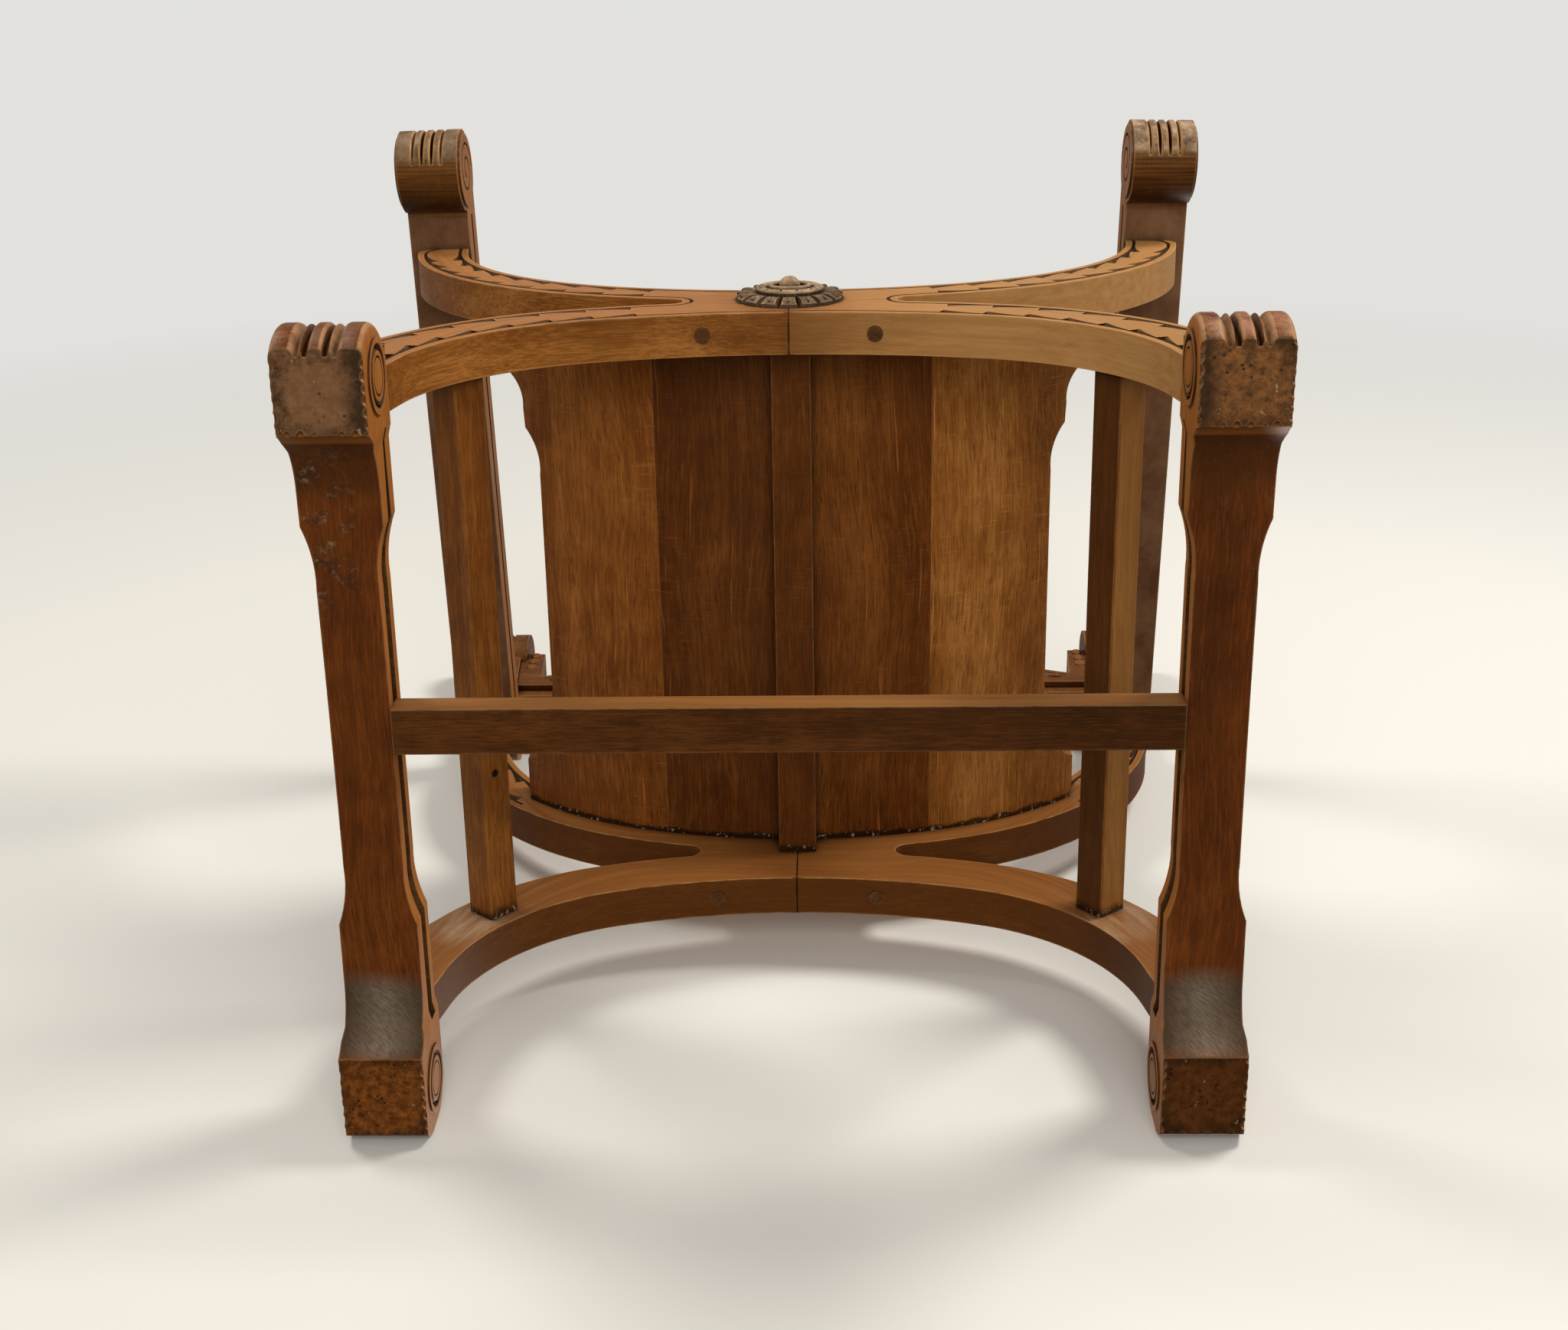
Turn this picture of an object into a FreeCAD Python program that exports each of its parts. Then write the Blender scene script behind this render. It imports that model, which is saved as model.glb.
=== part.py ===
import FreeCAD, Part

import math
import os

import Sketcher

# An X-frame armchair of the savonarola pattern, made as a fixed frame.
# Millimetres, +Z up, the chair faces -Y, +X is its left arm as seen from the front.
# The origin is the middle of the chair's plan box, on the surface that the feet stand on.

V = FreeCAD.Vector
doc = FreeCAD.newDocument("savonarola_chair")

# Driving dimensions

DIMENSIONS = {
    # runners
    "runner_centre": 303,
    "foot_width": 62,
    "runner_end_width": 58,
    "runner_mid_width": 44,
    "runner_front": -272,
    "runner_back": 341,
    "runner_height": 70,
    "runner_under": 30,
    "pad_front_start": -261,
    "pad_front_end": -203,
    "pad_rear_start": 267,
    "pad_rear_end": 331,
    "cove_reach": 46,
    "waist_front": -132,
    "waist_rear": 172,
    "waist_reach": 46,
    # crossed frames
    "frame_thick": 33,
    "frame_front_face": -233,
    "frame_rear_face": 249,
    "arch_apex": 268,
    "arch_radius": 490,
    "arch_haunch": 178,
    "arch_depth": 52,
    "arch_outer_haunch": 230,
    "bow_apex": 325,
    "bow_radius": 450,
    "bow_depth": 45,
    "bow_front_outer": 300,
    "bow_front_inner": 255,
    "bow_rear_outer": 288,
    "bow_rear_inner": 243,
    "corner_rise": 24,
    "corner_reach": 8,
    "crotch_radius": 12,
    "tenon_wide": 24,
    "tenon_thick": 14,
    "tenon_length": 19,
    "joint_gap": 0.2,
    # joint across the seam of each crossed frame
    "tongue_reach": 80,
    "tongue_low": 288,
    "tongue_high": 318,
    "tongue_thick": 16,
    "peg_offset": 67,
    "peg_size": 12,
    "peg_low": 262,
    "peg_high": 334,
    # boss at the crossing
    "boss_height": 328,
    "boss_radius": 43,
    "boss_proud": 18,
    "spigot_radius": 7,
    "spigot_length": 8,
    # rails, rib and stretcher
    "rail_size": 28,
    "rail_angle": 48.7,
    "dowel_size": 12,
    "dowel_length": 36,
    "rib_width": 32,
    "rib_low": 320,
    "rib_dowel_size": 8,
    "rib_dowel_length": 24,
    "rib_dowel_spread": 8,
    "rib_dowel_height": 332,
    "stretcher_front": 3,
    "stretcher_deep": 34,
    "stretcher_low": 31,
    "stretcher_high": 55,
    "stretcher_tenon": 15,
    # seat
    "seat_lift": 22,
    "seat_thick": 18,
    "seat_haunch": 278,
    "seat_seam": 116,
    "seat_half_ends": 251,
    "seat_half_shoulder": 234,
    "seat_half_waist": 221,
    "seat_housing": 6,
    "seat_ear_front": 48,
    "seat_ear_back": 46,
    # arms
    "arm_under": 620,
    "arm_thick": 40,
    "arm_width": 56,
    "arm_scroll_y": -304,
    "arm_scroll_radius": 37,
    "arm_back": 292,
    "arm_front_centre": 334,
    "arm_rear_centre": 320,
    "scroll_face_radius": 33,
    "scroll_face_proud": 2,
    "flute_radius": 2.2,
    # back
    "post_foot_inner": 301,
    "post_foot_outer": 339,
    "post_head_inner": 316,
    "post_head_outer": 360,
    "post_head": 836,
    "ear_centre": 345,
    "ear_width": 72,
    "ear_height": 860,
    "ear_radius": 32,
    "back_tongue": 7,
    "panel_thick": 14,
    "panel_low": 712,
    "panel_high": 762,
    "back_rail_low": 692,
    "back_rail_high": 722,
    "crest_low": 752,
    "crest_thick": 27,
    "crest_block": 852,
    "crest_dip": 780,
    "crest_top": 940,
}

sheet = doc.addObject("Spreadsheet::Sheet", "Sizes")
for row, (alias, value) in enumerate(DIMENSIONS.items(), start=1):
    sheet.set(f"A{row}", alias)
    sheet.set(f"B{row}", str(value))
    sheet.setAlias(f"B{row}", alias)
doc.recompute()


def size(alias):
    """A driving dimension, read from the sheet."""
    return float(sheet.get(alias))


def bind(item, field, formula):
    """Ties a field of an object to the sheet; names in the formula are aliases."""
    words = formula.replace("(", " ( ").replace(")", " ) ").split()
    item.setExpression(field, " ".join(f"Sizes.{w}" if w in DIMENSIONS else w for w in words))


# Helpers for bodies, sketches and simple joints

subparts = []


def new_body(name):
    body = doc.addObject("PartDesign::Body", name)
    body.Label = name
    subparts.append(body)
    return body


def base_plane(body, role):
    return next(item for item in body.Origin.OriginFeatures if item.Role == role)


def new_sketch(body, name, role, offset=None):
    """A sketch on one of the body's own origin planes, moved by the offset placement."""
    sketch = body.newObject("Sketcher::SketchObject", f"{body.Name}_{name}")
    sketch.AttachmentSupport = [(base_plane(body, role), "")]
    sketch.MapMode = "FlatFace"
    if offset is not None:
        sketch.AttachmentOffset = offset
    return sketch


def line(start, end):
    return ("line", start, end, None)


def arc(start, middle, end, radius_alias=None):
    return ("arc", start, middle, end, radius_alias)


def draw_outline(sketch, pieces):
    """Draws a closed outline of lines and arcs, and joins their ends."""
    ends = []
    for piece in pieces:
        if piece[0] == "line":
            start, end = piece[1], piece[2]
            geometry = Part.LineSegment(V(*start, 0), V(*end, 0))
        else:
            start, middle, end = piece[1:4]
            geometry = Part.Arc(V(*start, 0), V(*middle, 0), V(*end, 0))
        index = sketch.addGeometry(geometry, False)
        first = sketch.getPoint(index, 1)
        near_start = (first - V(*start, 0)).Length < (first - V(*end, 0)).Length
        ends.append((index, 1, 2) if near_start else (index, 2, 1))
        if piece[0] == "arc" and piece[4] is not None:
            radius = sketch.Geometry[index].Radius
            number = sketch.addConstraint(Sketcher.Constraint("Radius", index, radius))
            bind(sketch, f"Constraints[{number}]", piece[4])
    for this, following in zip(ends, ends[1:] + ends[:1]):
        joint = Sketcher.Constraint("Coincident", this[0], this[2], following[0], following[1])
        sketch.addConstraint(joint)


def polygon(points):
    return [line(a, b) for a, b in zip(points, points[1:] + points[:1])]


def mirrored(pieces, side):
    """The same outline, mirrored to the other side of the middle where side is -1."""

    def flip(point):
        return (side * point[0], point[1])

    turned = []
    for piece in pieces:
        if piece[0] == "line":
            turned.append(line(flip(piece[1]), flip(piece[2])))
        else:
            turned.append(arc(flip(piece[1]), flip(piece[2]), flip(piece[3]), piece[4]))
    return turned


def pad(body, sketch, length_formula, midplane=False, reverse=False):
    feature = body.newObject("PartDesign::Pad", f"{sketch.Name}_pad")
    feature.Profile = sketch
    if midplane:
        feature.Midplane = True
    feature.Reversed = reverse
    bind(feature, "Length", length_formula)
    sketch.Visibility = False
    doc.recompute()
    return feature


def pocket(body, sketch, length_formula=None, reverse=False, midplane=False):
    """Cuts a sketch out of the body, and stops if nothing was cut."""
    before = body.Shape.Volume
    feature = body.newObject("PartDesign::Pocket", f"{sketch.Name}_pocket")
    feature.Profile = sketch
    feature.Reversed = reverse
    if midplane:
        feature.Midplane = True
    if length_formula is None:
        feature.Type = "ThroughAll"
    else:
        bind(feature, "Length", length_formula)
    sketch.Visibility = False
    doc.recompute()
    if body.Shape.Volume > before - 0.5:
        raise RuntimeError(f"{feature.Name} cut nothing")
    return feature


def box_feature(body, kind, name, corner, lengths):
    """An AdditiveBox or SubtractiveBox with one corner at a point of the body's frame.
    Each length is a formula of the sheet."""
    before = body.Shape.Volume if body.Tip else 0
    feature = body.newObject(f"PartDesign::{kind}Box", f"{body.Name}_{name}")
    feature.AttachmentSupport = [(base_plane(body, "XY_Plane"), "")]
    feature.MapMode = "FlatFace"
    feature.AttachmentOffset = FreeCAD.Placement(V(*corner), FreeCAD.Rotation())
    for field, formula in zip(("Length", "Width", "Height"), lengths):
        bind(feature, field, formula)
    doc.recompute()
    if abs(body.Shape.Volume - before) < 0.5:
        raise RuntimeError(f"{feature.Name} changed nothing")
    return feature


def cylinder_feature(body, kind, name, base, direction, radius_formula, height_formula):
    """An AdditiveCylinder or SubtractiveCylinder from a base point along a direction."""
    before = body.Shape.Volume if body.Tip else 0
    feature = body.newObject(f"PartDesign::{kind}Cylinder", f"{body.Name}_{name}")
    feature.AttachmentSupport = [(base_plane(body, "XY_Plane"), "")]
    feature.MapMode = "FlatFace"
    turn = FreeCAD.Rotation(V(0, 0, 1), V(*direction))
    feature.AttachmentOffset = FreeCAD.Placement(V(*base), turn)
    bind(feature, "Radius", radius_formula)
    bind(feature, "Height", height_formula)
    doc.recompute()
    if abs(body.Shape.Volume - before) < 0.5:
        raise RuntimeError(f"{feature.Name} changed nothing")
    return feature


def roll_groove(body, name, centre, start, sweep, radius_formula, groove_formula):
    """A groove round part of a roll whose axis lies along X. The sweep starts at an angle from
    the back of the chair, towards its top, and both angles are in degrees."""
    before = body.Shape.Volume
    groove = body.newObject("PartDesign::SubtractiveTorus", f"{body.Name}_{name}")
    groove.AttachmentSupport = [(base_plane(body, "XY_Plane"), "")]
    groove.MapMode = "FlatFace"
    lay = FreeCAD.Rotation(V(0, 1, 0), V(0, 0, 1), V(1, 0, 0), "ZXY")
    spin = FreeCAD.Rotation(V(1, 0, 0), start)
    groove.AttachmentOffset = FreeCAD.Placement(V(*centre), spin.multiply(lay))
    bind(groove, "Radius1", radius_formula)
    bind(groove, "Radius2", groove_formula)
    groove.Angle3 = sweep
    doc.recompute()
    if body.Shape.Volume > before - 0.5:
        raise RuntimeError(f"{groove.Name} cut nothing")


def place(body, x=0, y=0, z=0, turn_z=0):
    body.Placement = FreeCAD.Placement(V(x, y, z), FreeCAD.Rotation(V(0, 0, 1), turn_z))


# Places that several pieces share

GAP = size("joint_gap")
FRAME_THICK = size("frame_thick")
FRONT_FACE = size("frame_front_face")
REAR_FACE = size("frame_rear_face")
SEAT_FRONT = FRONT_FACE + FRAME_THICK
SEAT_LENGTH = REAR_FACE - SEAT_FRONT
RUNNER_X = size("runner_centre")
RUNNER_TOP = size("runner_height")
ARM_UNDER = size("arm_under")
ARM_TOP = ARM_UNDER + size("arm_thick")
FLAT_ANGLE = math.radians(18)
BOW_FLAT_ANGLE = math.radians(20)
ARCH_END_ANGLE = math.radians(80)
BOW_END_ANGLE = math.radians(85)


def arm_turn():
    """How far each arm turns in plan, because the arms stand closer at the back."""
    run = REAR_FACE - size("arm_scroll_y")
    return math.atan2(size("arm_front_centre") - size("arm_rear_centre"), run)


def arm_centre(y):
    """The distance of the arm's centre line from the middle of the chair at a depth y."""
    return size("arm_front_centre") - (y - size("arm_scroll_y")) * math.tan(arm_turn())


def bow(side, apex, flat_radius, flat_angle, haunch_radius, end_angle, up, end_height):
    """A curve of a flat arc, a tighter haunch and a straight end. It starts at the middle of
    the chair. side is 1 or -1, and up is 1 where the curve turns up and -1 where it turns
    down. Returns the named points of the curve in the plane of the frame."""

    def on_arc(centre, radius, angle):
        return (side * (centre[0] + radius * math.sin(angle)), centre[1] - up * radius * math.cos(angle))

    flat_centre = (0, apex + up * flat_radius)
    shift = flat_radius - haunch_radius
    haunch_centre = (shift * math.sin(flat_angle), flat_centre[1] - up * shift * math.cos(flat_angle))
    end = on_arc(haunch_centre, haunch_radius, end_angle)
    run = abs(end_height - end[1]) / math.tan(end_angle)
    return {
        "flat_centre": flat_centre,
        "flat_radius": flat_radius,
        "start": (0, apex),
        "flat_middle": on_arc(flat_centre, flat_radius, flat_angle / 2),
        "flat_end": on_arc(flat_centre, flat_radius, flat_angle),
        "haunch_centre": haunch_centre,
        "haunch_middle": on_arc(haunch_centre, haunch_radius, (flat_angle + end_angle) / 2),
        "haunch_end": end,
        "end": (end[0] + side * run, end_height),
    }


def arch_bow(side, depth, haunch_alias):
    """The lower arch: its underside at depth 0, its top edge at the arch's depth."""
    return bow(
        side,
        size("arch_apex") + depth,
        size("arch_radius") + depth,
        FLAT_ANGLE,
        size(haunch_alias),
        ARCH_END_ANGLE,
        -1,
        RUNNER_TOP,
    )


def seat_bow(side, lift):
    """The underside of the seat at lift 0, and its top at the board's thickness."""
    raised = size("seat_lift") + lift
    return bow(
        side,
        size("bow_apex") + raised,
        size("bow_radius") - raised,
        BOW_FLAT_ANGLE,
        size("seat_haunch") - lift,
        BOW_END_ANGLE,
        1,
        ARM_UNDER,
    )


def point_on_bow(curve, side, x):
    """The height of the upturned seat curve at a distance x from the middle."""
    if x < abs(curve["flat_end"][0]):
        centre, radius = curve["flat_centre"], curve["flat_radius"]
    else:
        centre = curve["haunch_centre"]
        radius = math.dist((abs(curve["flat_end"][0]), curve["flat_end"][1]), centre)
    return (side * x, centre[1] - math.sqrt(radius**2 - (x - centre[0]) ** 2))


# Crossed frames, each of two halves that meet in the middle of the chair


def crotch(side, lower, upper):
    """The round end of the gap between the two arms of a half: it touches the top of the
    lower arch and the underside of the upper bow."""
    radius = size("crotch_radius")
    low_centre, low_radius = lower["flat_centre"], lower["flat_radius"]
    high_centre, high_radius = upper["flat_centre"], upper["flat_radius"]
    low_reach, high_reach = low_radius + radius, high_radius + radius
    span = high_centre[1] - low_centre[1]
    rise = (span**2 + low_reach**2 - high_reach**2) / (2 * span)
    centre = (math.sqrt(low_reach**2 - rise**2), low_centre[1] + rise)

    def touch(other, other_radius, reach):
        share = other_radius / reach
        return (side * centre[0] * share, other[1] + (centre[1] - other[1]) * share)

    return (
        touch(low_centre, low_radius, low_reach),
        (side * (centre[0] - radius), centre[1]),
        touch(high_centre, high_radius, high_reach),
    )


def arc_middle(centre, start, end):
    """The point of an arc that is halfway between two of its points."""
    middle = V((start[0] + end[0]) / 2 - centre[0], (start[1] + end[1]) / 2 - centre[1], 0)
    radius = math.dist(centre, start)
    middle.normalize()
    return (centre[0] + middle.x * radius, centre[1] + middle.y * radius)


def rounded_corner(side, curve):
    """The outer corner of an upturned arm, rounded in under the armrest. It leaves the haunch
    along its own direction. Returns the start, the middle and the end of the rounding."""
    centre = curve["haunch_centre"]
    radius = math.dist((abs(curve["flat_end"][0]), curve["flat_end"][1]), centre)
    height = ARM_UNDER - size("corner_rise")
    angle = math.acos((centre[1] - height) / radius)
    start = (centre[0] + radius * math.sin(angle), height)
    end = (abs(curve["end"][0]) - size("corner_reach"), ARM_UNDER)
    inward = (-math.sin(angle), math.cos(angle))
    across, rise = end[0] - start[0], end[1] - start[1]
    bend = (across**2 + rise**2) / (2 * (across * inward[0] + rise * inward[1]))
    middle = (start[0] + bend * inward[0], start[1] + bend * inward[1])
    return [(side * x, z) for x, z in (start, arc_middle(middle, start, end), end)]


def half_frame_outline(side, outer_alias, inner_alias):
    under = arch_bow(side, 0, "arch_haunch")
    over = arch_bow(side, size("arch_depth"), "arch_outer_haunch")
    shape = (size("bow_apex"), size("bow_radius"), BOW_FLAT_ANGLE)
    belly = bow(side, *shape, size(outer_alias), BOW_END_ANGLE, 1, ARM_UNDER)
    depth = size("bow_depth")
    inside = (size("bow_apex") + depth, size("bow_radius") - depth, BOW_FLAT_ANGLE)
    lap = bow(side, *inside, size(inner_alias), BOW_END_ANGLE, 1, ARM_UNDER)
    low_touch, tip, high_touch = crotch(side, over, belly)
    corner = rounded_corner(side, belly)
    haunch = (side * belly["haunch_centre"][0], belly["haunch_centre"][1])
    return [
        arc(under["start"], under["flat_middle"], under["flat_end"], "arch_radius"),
        arc(under["flat_end"], under["haunch_middle"], under["haunch_end"], "arch_haunch"),
        line(under["haunch_end"], under["end"]),
        line(under["end"], over["end"]),
        line(over["end"], over["haunch_end"]),
        arc(over["haunch_end"], over["haunch_middle"], over["flat_end"], "arch_outer_haunch"),
        arc(over["flat_end"], arc_middle(over["flat_centre"], over["flat_end"], low_touch), low_touch),
        arc(low_touch, tip, high_touch, "crotch_radius"),
        arc(high_touch, arc_middle(belly["flat_centre"], high_touch, belly["flat_end"]), belly["flat_end"]),
        arc(belly["flat_end"], arc_middle(haunch, belly["flat_end"], corner[0]), corner[0], outer_alias),
        arc(*corner),
        line(corner[2], lap["end"]),
        line(lap["end"], lap["haunch_end"]),
        arc(lap["haunch_end"], lap["haunch_middle"], lap["flat_end"], inner_alias),
        arc(lap["flat_end"], lap["flat_middle"], lap["start"]),
        line(lap["start"], under["start"]),
    ]


def seat_section(side, start, stop, extra):
    """The section of the seat from one distance to another; extra widens it for a housing."""
    low = seat_bow(side, -extra)
    high = seat_bow(side, size("seat_thick") + extra)

    def run(curve, first, last):
        bend = abs(curve["flat_end"][0])
        stops = [first, last]
        if min(stops) < bend < max(stops):
            stops.insert(1, bend)
        pieces = []
        for a, b in zip(stops, stops[1:]):
            points = [point_on_bow(curve, side, x) for x in (a, (a + b) / 2, b)]
            pieces.append(arc(*points))
        return pieces

    bottom = run(low, start, stop)
    top = run(high, stop, start)
    return [*bottom, line(bottom[-1][3], top[0][1]), *top, line(top[-1][3], bottom[0][1])]


def rail_centre():
    """The middle of a side rail: the middle of the arch's depth, at the rail's angle."""
    curve = arch_bow(1, 0, "arch_haunch")
    angle = math.radians(size("rail_angle"))
    reach = size("arch_haunch") + size("arch_depth") / 2
    centre = curve["haunch_centre"]
    return (centre[0] + reach * math.sin(angle), centre[1] + reach * math.cos(angle))


def half_frame(name, side, face, seat_on_back, outer_alias, inner_alias, with_boss):
    """One half of a crossed frame, cut from a plank. Its frame's front face is at y = 0."""
    body = new_body(name)
    outline = new_sketch(body, "outline", "XZ_Plane")
    draw_outline(outline, half_frame_outline(side, outer_alias, inner_alias))
    pad(body, outline, "frame_thick", reverse=True)

    # stub tenons into the runner below and the arm above
    tenon_wide, tenon_thick = size("tenon_wide"), size("tenon_thick")
    tenon_y = (FRAME_THICK - tenon_thick) / 2
    tenon_sizes = ("tenon_wide", "tenon_thick", "tenon_length + 1")
    foot = (side * RUNNER_X - tenon_wide / 2, tenon_y, RUNNER_TOP - size("tenon_length"))
    box_feature(body, "Additive", "foot_tenon", foot, tenon_sizes)
    head_x = side * arm_centre(face + FRAME_THICK / 2) - tenon_wide / 2
    box_feature(body, "Additive", "head_tenon", (head_x, tenon_y, ARM_UNDER - 1), tenon_sizes)

    # slot for the loose tongue across the seam, and the hole for the peg that locks it
    reach, gap = size("tongue_reach"), GAP
    slot_x = -gap if side > 0 else -reach - gap
    slot_y = (FRAME_THICK - size("tongue_thick")) / 2 - gap / 2
    slot = (slot_x, slot_y, size("tongue_low") - gap / 2)
    slot_height = "tongue_high - tongue_low + joint_gap"
    slot_sizes = ("tongue_reach + 2 * joint_gap", "tongue_thick + joint_gap", slot_height)
    box_feature(body, "Subtractive", "tongue_slot", slot, slot_sizes)
    peg_base = (side * size("peg_offset"), FRAME_THICK / 2, size("peg_low") - 12)
    hole = ("peg_size / 2 + joint_gap / 2", "peg_high - peg_low + 12 + joint_gap")
    cylinder_feature(body, "Subtractive", "peg_hole", peg_base, (0, 0, 1), *hole)

    # housing for the ends of the seat boards, on the face towards the seat
    inner_y = FRAME_THICK if seat_on_back else 0
    offset = FreeCAD.Placement(V(0, 0, -inner_y), FreeCAD.Rotation())
    housing = new_sketch(body, "seat_housing", "XZ_Plane", offset)
    draw_outline(housing, seat_section(side, 0, size("seat_half_ends") + GAP, GAP / 2))
    pocket(body, housing, "seat_housing + joint_gap", reverse=seat_on_back)

    # blind hole for the dowel of the side rail
    rail_x, rail_z = rail_centre()
    direction = (0, -1, 0) if seat_on_back else (0, 1, 0)
    rail_base = (side * rail_x, inner_y, rail_z)
    half_dowel = ("dowel_size / 2 + joint_gap / 2", "dowel_length / 2 + joint_gap")
    cylinder_feature(body, "Subtractive", "rail_hole", rail_base, direction, *half_dowel)

    # blind hole for one of the two dowels of the centre rib
    rib_base = (side * size("rib_dowel_spread"), inner_y, size("rib_dowel_height"))
    half_dowel = ("rib_dowel_size / 2 + joint_gap / 2", "rib_dowel_length / 2 + joint_gap")
    cylinder_feature(body, "Subtractive", "rib_hole", rib_base, direction, *half_dowel)

    # shallow hole in the front face for the spigot of the boss, half in each half
    if with_boss:
        spigot = ("spigot_radius + joint_gap / 2", "spigot_length + joint_gap")
        cylinder_feature(body, "Subtractive", "boss_hole", (0, 0, size("boss_height")), (0, 1, 0), *spigot)
    place(body, y=face)
    return body


def make_frames():
    for side, word in ((1, "right"), (-1, "left")):
        front = ("bow_front_outer", "bow_front_inner", True)
        rear = ("bow_rear_outer", "bow_rear_inner", False)
        half_frame(f"front_frame_{word}", side, FRONT_FACE, True, *front)
        half_frame(f"rear_frame_{word}", side, REAR_FACE, False, *rear)


def make_tongue(name, face):
    """The loose tongue that bridges the seam inside a crossed frame, with its two peg holes."""
    body = new_body(name)
    reach = size("tongue_reach")
    corner = (-reach, (FRAME_THICK - size("tongue_thick")) / 2, size("tongue_low"))
    lengths = ("2 * tongue_reach", "tongue_thick", "tongue_high - tongue_low")
    box_feature(body, "Additive", "blank", corner, lengths)
    for side in (-1, 1):
        base = (side * size("peg_offset"), FRAME_THICK / 2, size("tongue_low") - 1)
        hole = ("peg_size / 2 + joint_gap / 2", "tongue_high - tongue_low + 2")
        cylinder_feature(body, "Subtractive", f"hole_{side + 1}", base, (0, 0, 1), *hole)
    place(body, y=face)


def peg_group(name, pegs, radius_formula, height_formula):
    """Several pegs or dowels as one node: a fusion of cylinders that stay apart."""
    parts = []
    for number, (base, direction) in enumerate(pegs):
        peg = doc.addObject("Part::Cylinder", f"{name}_{number}")
        bind(peg, "Radius", radius_formula)
        bind(peg, "Height", height_formula)
        peg.Placement = FreeCAD.Placement(V(*base), FreeCAD.Rotation(V(0, 0, 1), V(*direction)))
        parts.append(peg)
    group = doc.addObject("Part::Compound", name)
    group.Links = parts
    group.Label = name
    subparts.append(group)


def make_pegs():
    for word, face in (("front", FRONT_FACE), ("rear", REAR_FACE)):
        y = face + FRAME_THICK / 2
        pegs = [((side * size("peg_offset"), y, size("peg_low")), (0, 0, 1)) for side in (-1, 1)]
        peg_group(f"{word}_frame_pegs", pegs, "peg_size / 2", "peg_high - peg_low")
    rib_spot = (size("rib_dowel_spread"), size("rib_dowel_height"))
    for word, prefix, (x, z) in (("rail", "", rail_centre()), ("rib", "rib_", rib_spot)):
        half = size(f"{prefix}dowel_length") / 2
        ends = (SEAT_FRONT - half, REAR_FACE - half)
        dowels = [((side * x, y, z), (0, 1, 0)) for side in (-1, 1) for y in ends]
        peg_group(f"{word}_dowels", dowels, f"{prefix}dowel_size / 2", f"{prefix}dowel_length")


def make_boss():
    """The turned boss over the crossing: a low rim, a raised ring, a hollow, a tall button, and
    a spigot behind."""
    body = new_body("front_boss")
    radius, proud = size("boss_radius"), size("boss_proud")
    spigot, depth = size("spigot_radius"), size("spigot_length")
    sketch = new_sketch(body, "profile", "XZ_Plane")
    rim, shoulder, ring = 3, 0.62 * radius, 0.56 * radius
    hollow, knob, navel = 0.36 * radius, 0.2 * radius, 3
    pieces = [
        line((0, depth), (spigot, depth)),
        line((spigot, depth), (spigot, 0)),
        line((spigot, 0), (radius, 0)),
        line((radius, 0), (radius, -rim)),
        arc((radius, -rim), ((radius + shoulder) / 2, -rim - 3.4), (shoulder, -rim - 3)),
        arc((shoulder, -rim - 3), (ring, -rim - 8), (ring - 5, -rim - 5)),
        arc((ring - 5, -rim - 5), (hollow, -rim - 3), (knob + 2, -rim - 6)),
        line((knob + 2, -rim - 6), (knob, -rim - 7)),
        arc((knob, -rim - 7), (0.86 * knob, -proud + 3.6), (navel, -proud)),
        line((navel, -proud), (0, -proud)),
        line((0, -proud), (0, depth)),
    ]
    draw_outline(sketch, pieces)
    turned = body.newObject("PartDesign::Revolution", "front_boss_turned")
    turned.Profile = sketch
    turned.ReferenceAxis = (sketch, ["V_Axis"])
    turned.Angle = 360
    sketch.Visibility = False
    doc.recompute()
    # the turned axis lies along the body's Z, so the boss is laid over to face forward
    lay = FreeCAD.Rotation(V(0, 0, 1), V(0, 1, 0))
    body.Placement = FreeCAD.Placement(V(0, FRONT_FACE, size("boss_height")), lay)


# Runners, the two sledge feet


def runner_profile():
    """The side of a runner: a flat pad at each end, a cove behind it, and a low arch."""
    under, top = size("runner_under"), RUNNER_TOP
    front, back = size("runner_front"), size("runner_back")
    pads = [size(f"pad_{word}") for word in ("front_start", "front_end", "rear_start", "rear_end")]
    reach = size("cove_reach")
    bend = (reach**2 + under**2) / (2 * under)
    cove_front, cove_rear = pads[1] + reach, pads[2] - reach

    def cove(edge, stop):
        """Halfway round the cove whose crown is at stop and whose foot is at the pad's edge."""
        centre = (stop, under - bend)
        return arc_middle(centre, (edge, 0), (stop, under))

    middle = ((cove_front + cove_rear) / 2, under + 4)
    toe_top, heel_top = front + 22, back - 22
    return [
        line((pads[0], 0), (pads[1], 0)),
        arc((pads[1], 0), cove(pads[1], cove_front), (cove_front, under)),
        arc((cove_front, under), middle, (cove_rear, under)),
        arc((cove_rear, under), cove(pads[2], cove_rear), (pads[2], 0)),
        line((pads[2], 0), (pads[3], 0)),
        arc((pads[3], 0), (back, top / 2), (heel_top, top)),
        line((heel_top, top), (toe_top, top)),
        arc((toe_top, top), (front, top / 2), (pads[0], 0)),
    ]


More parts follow.
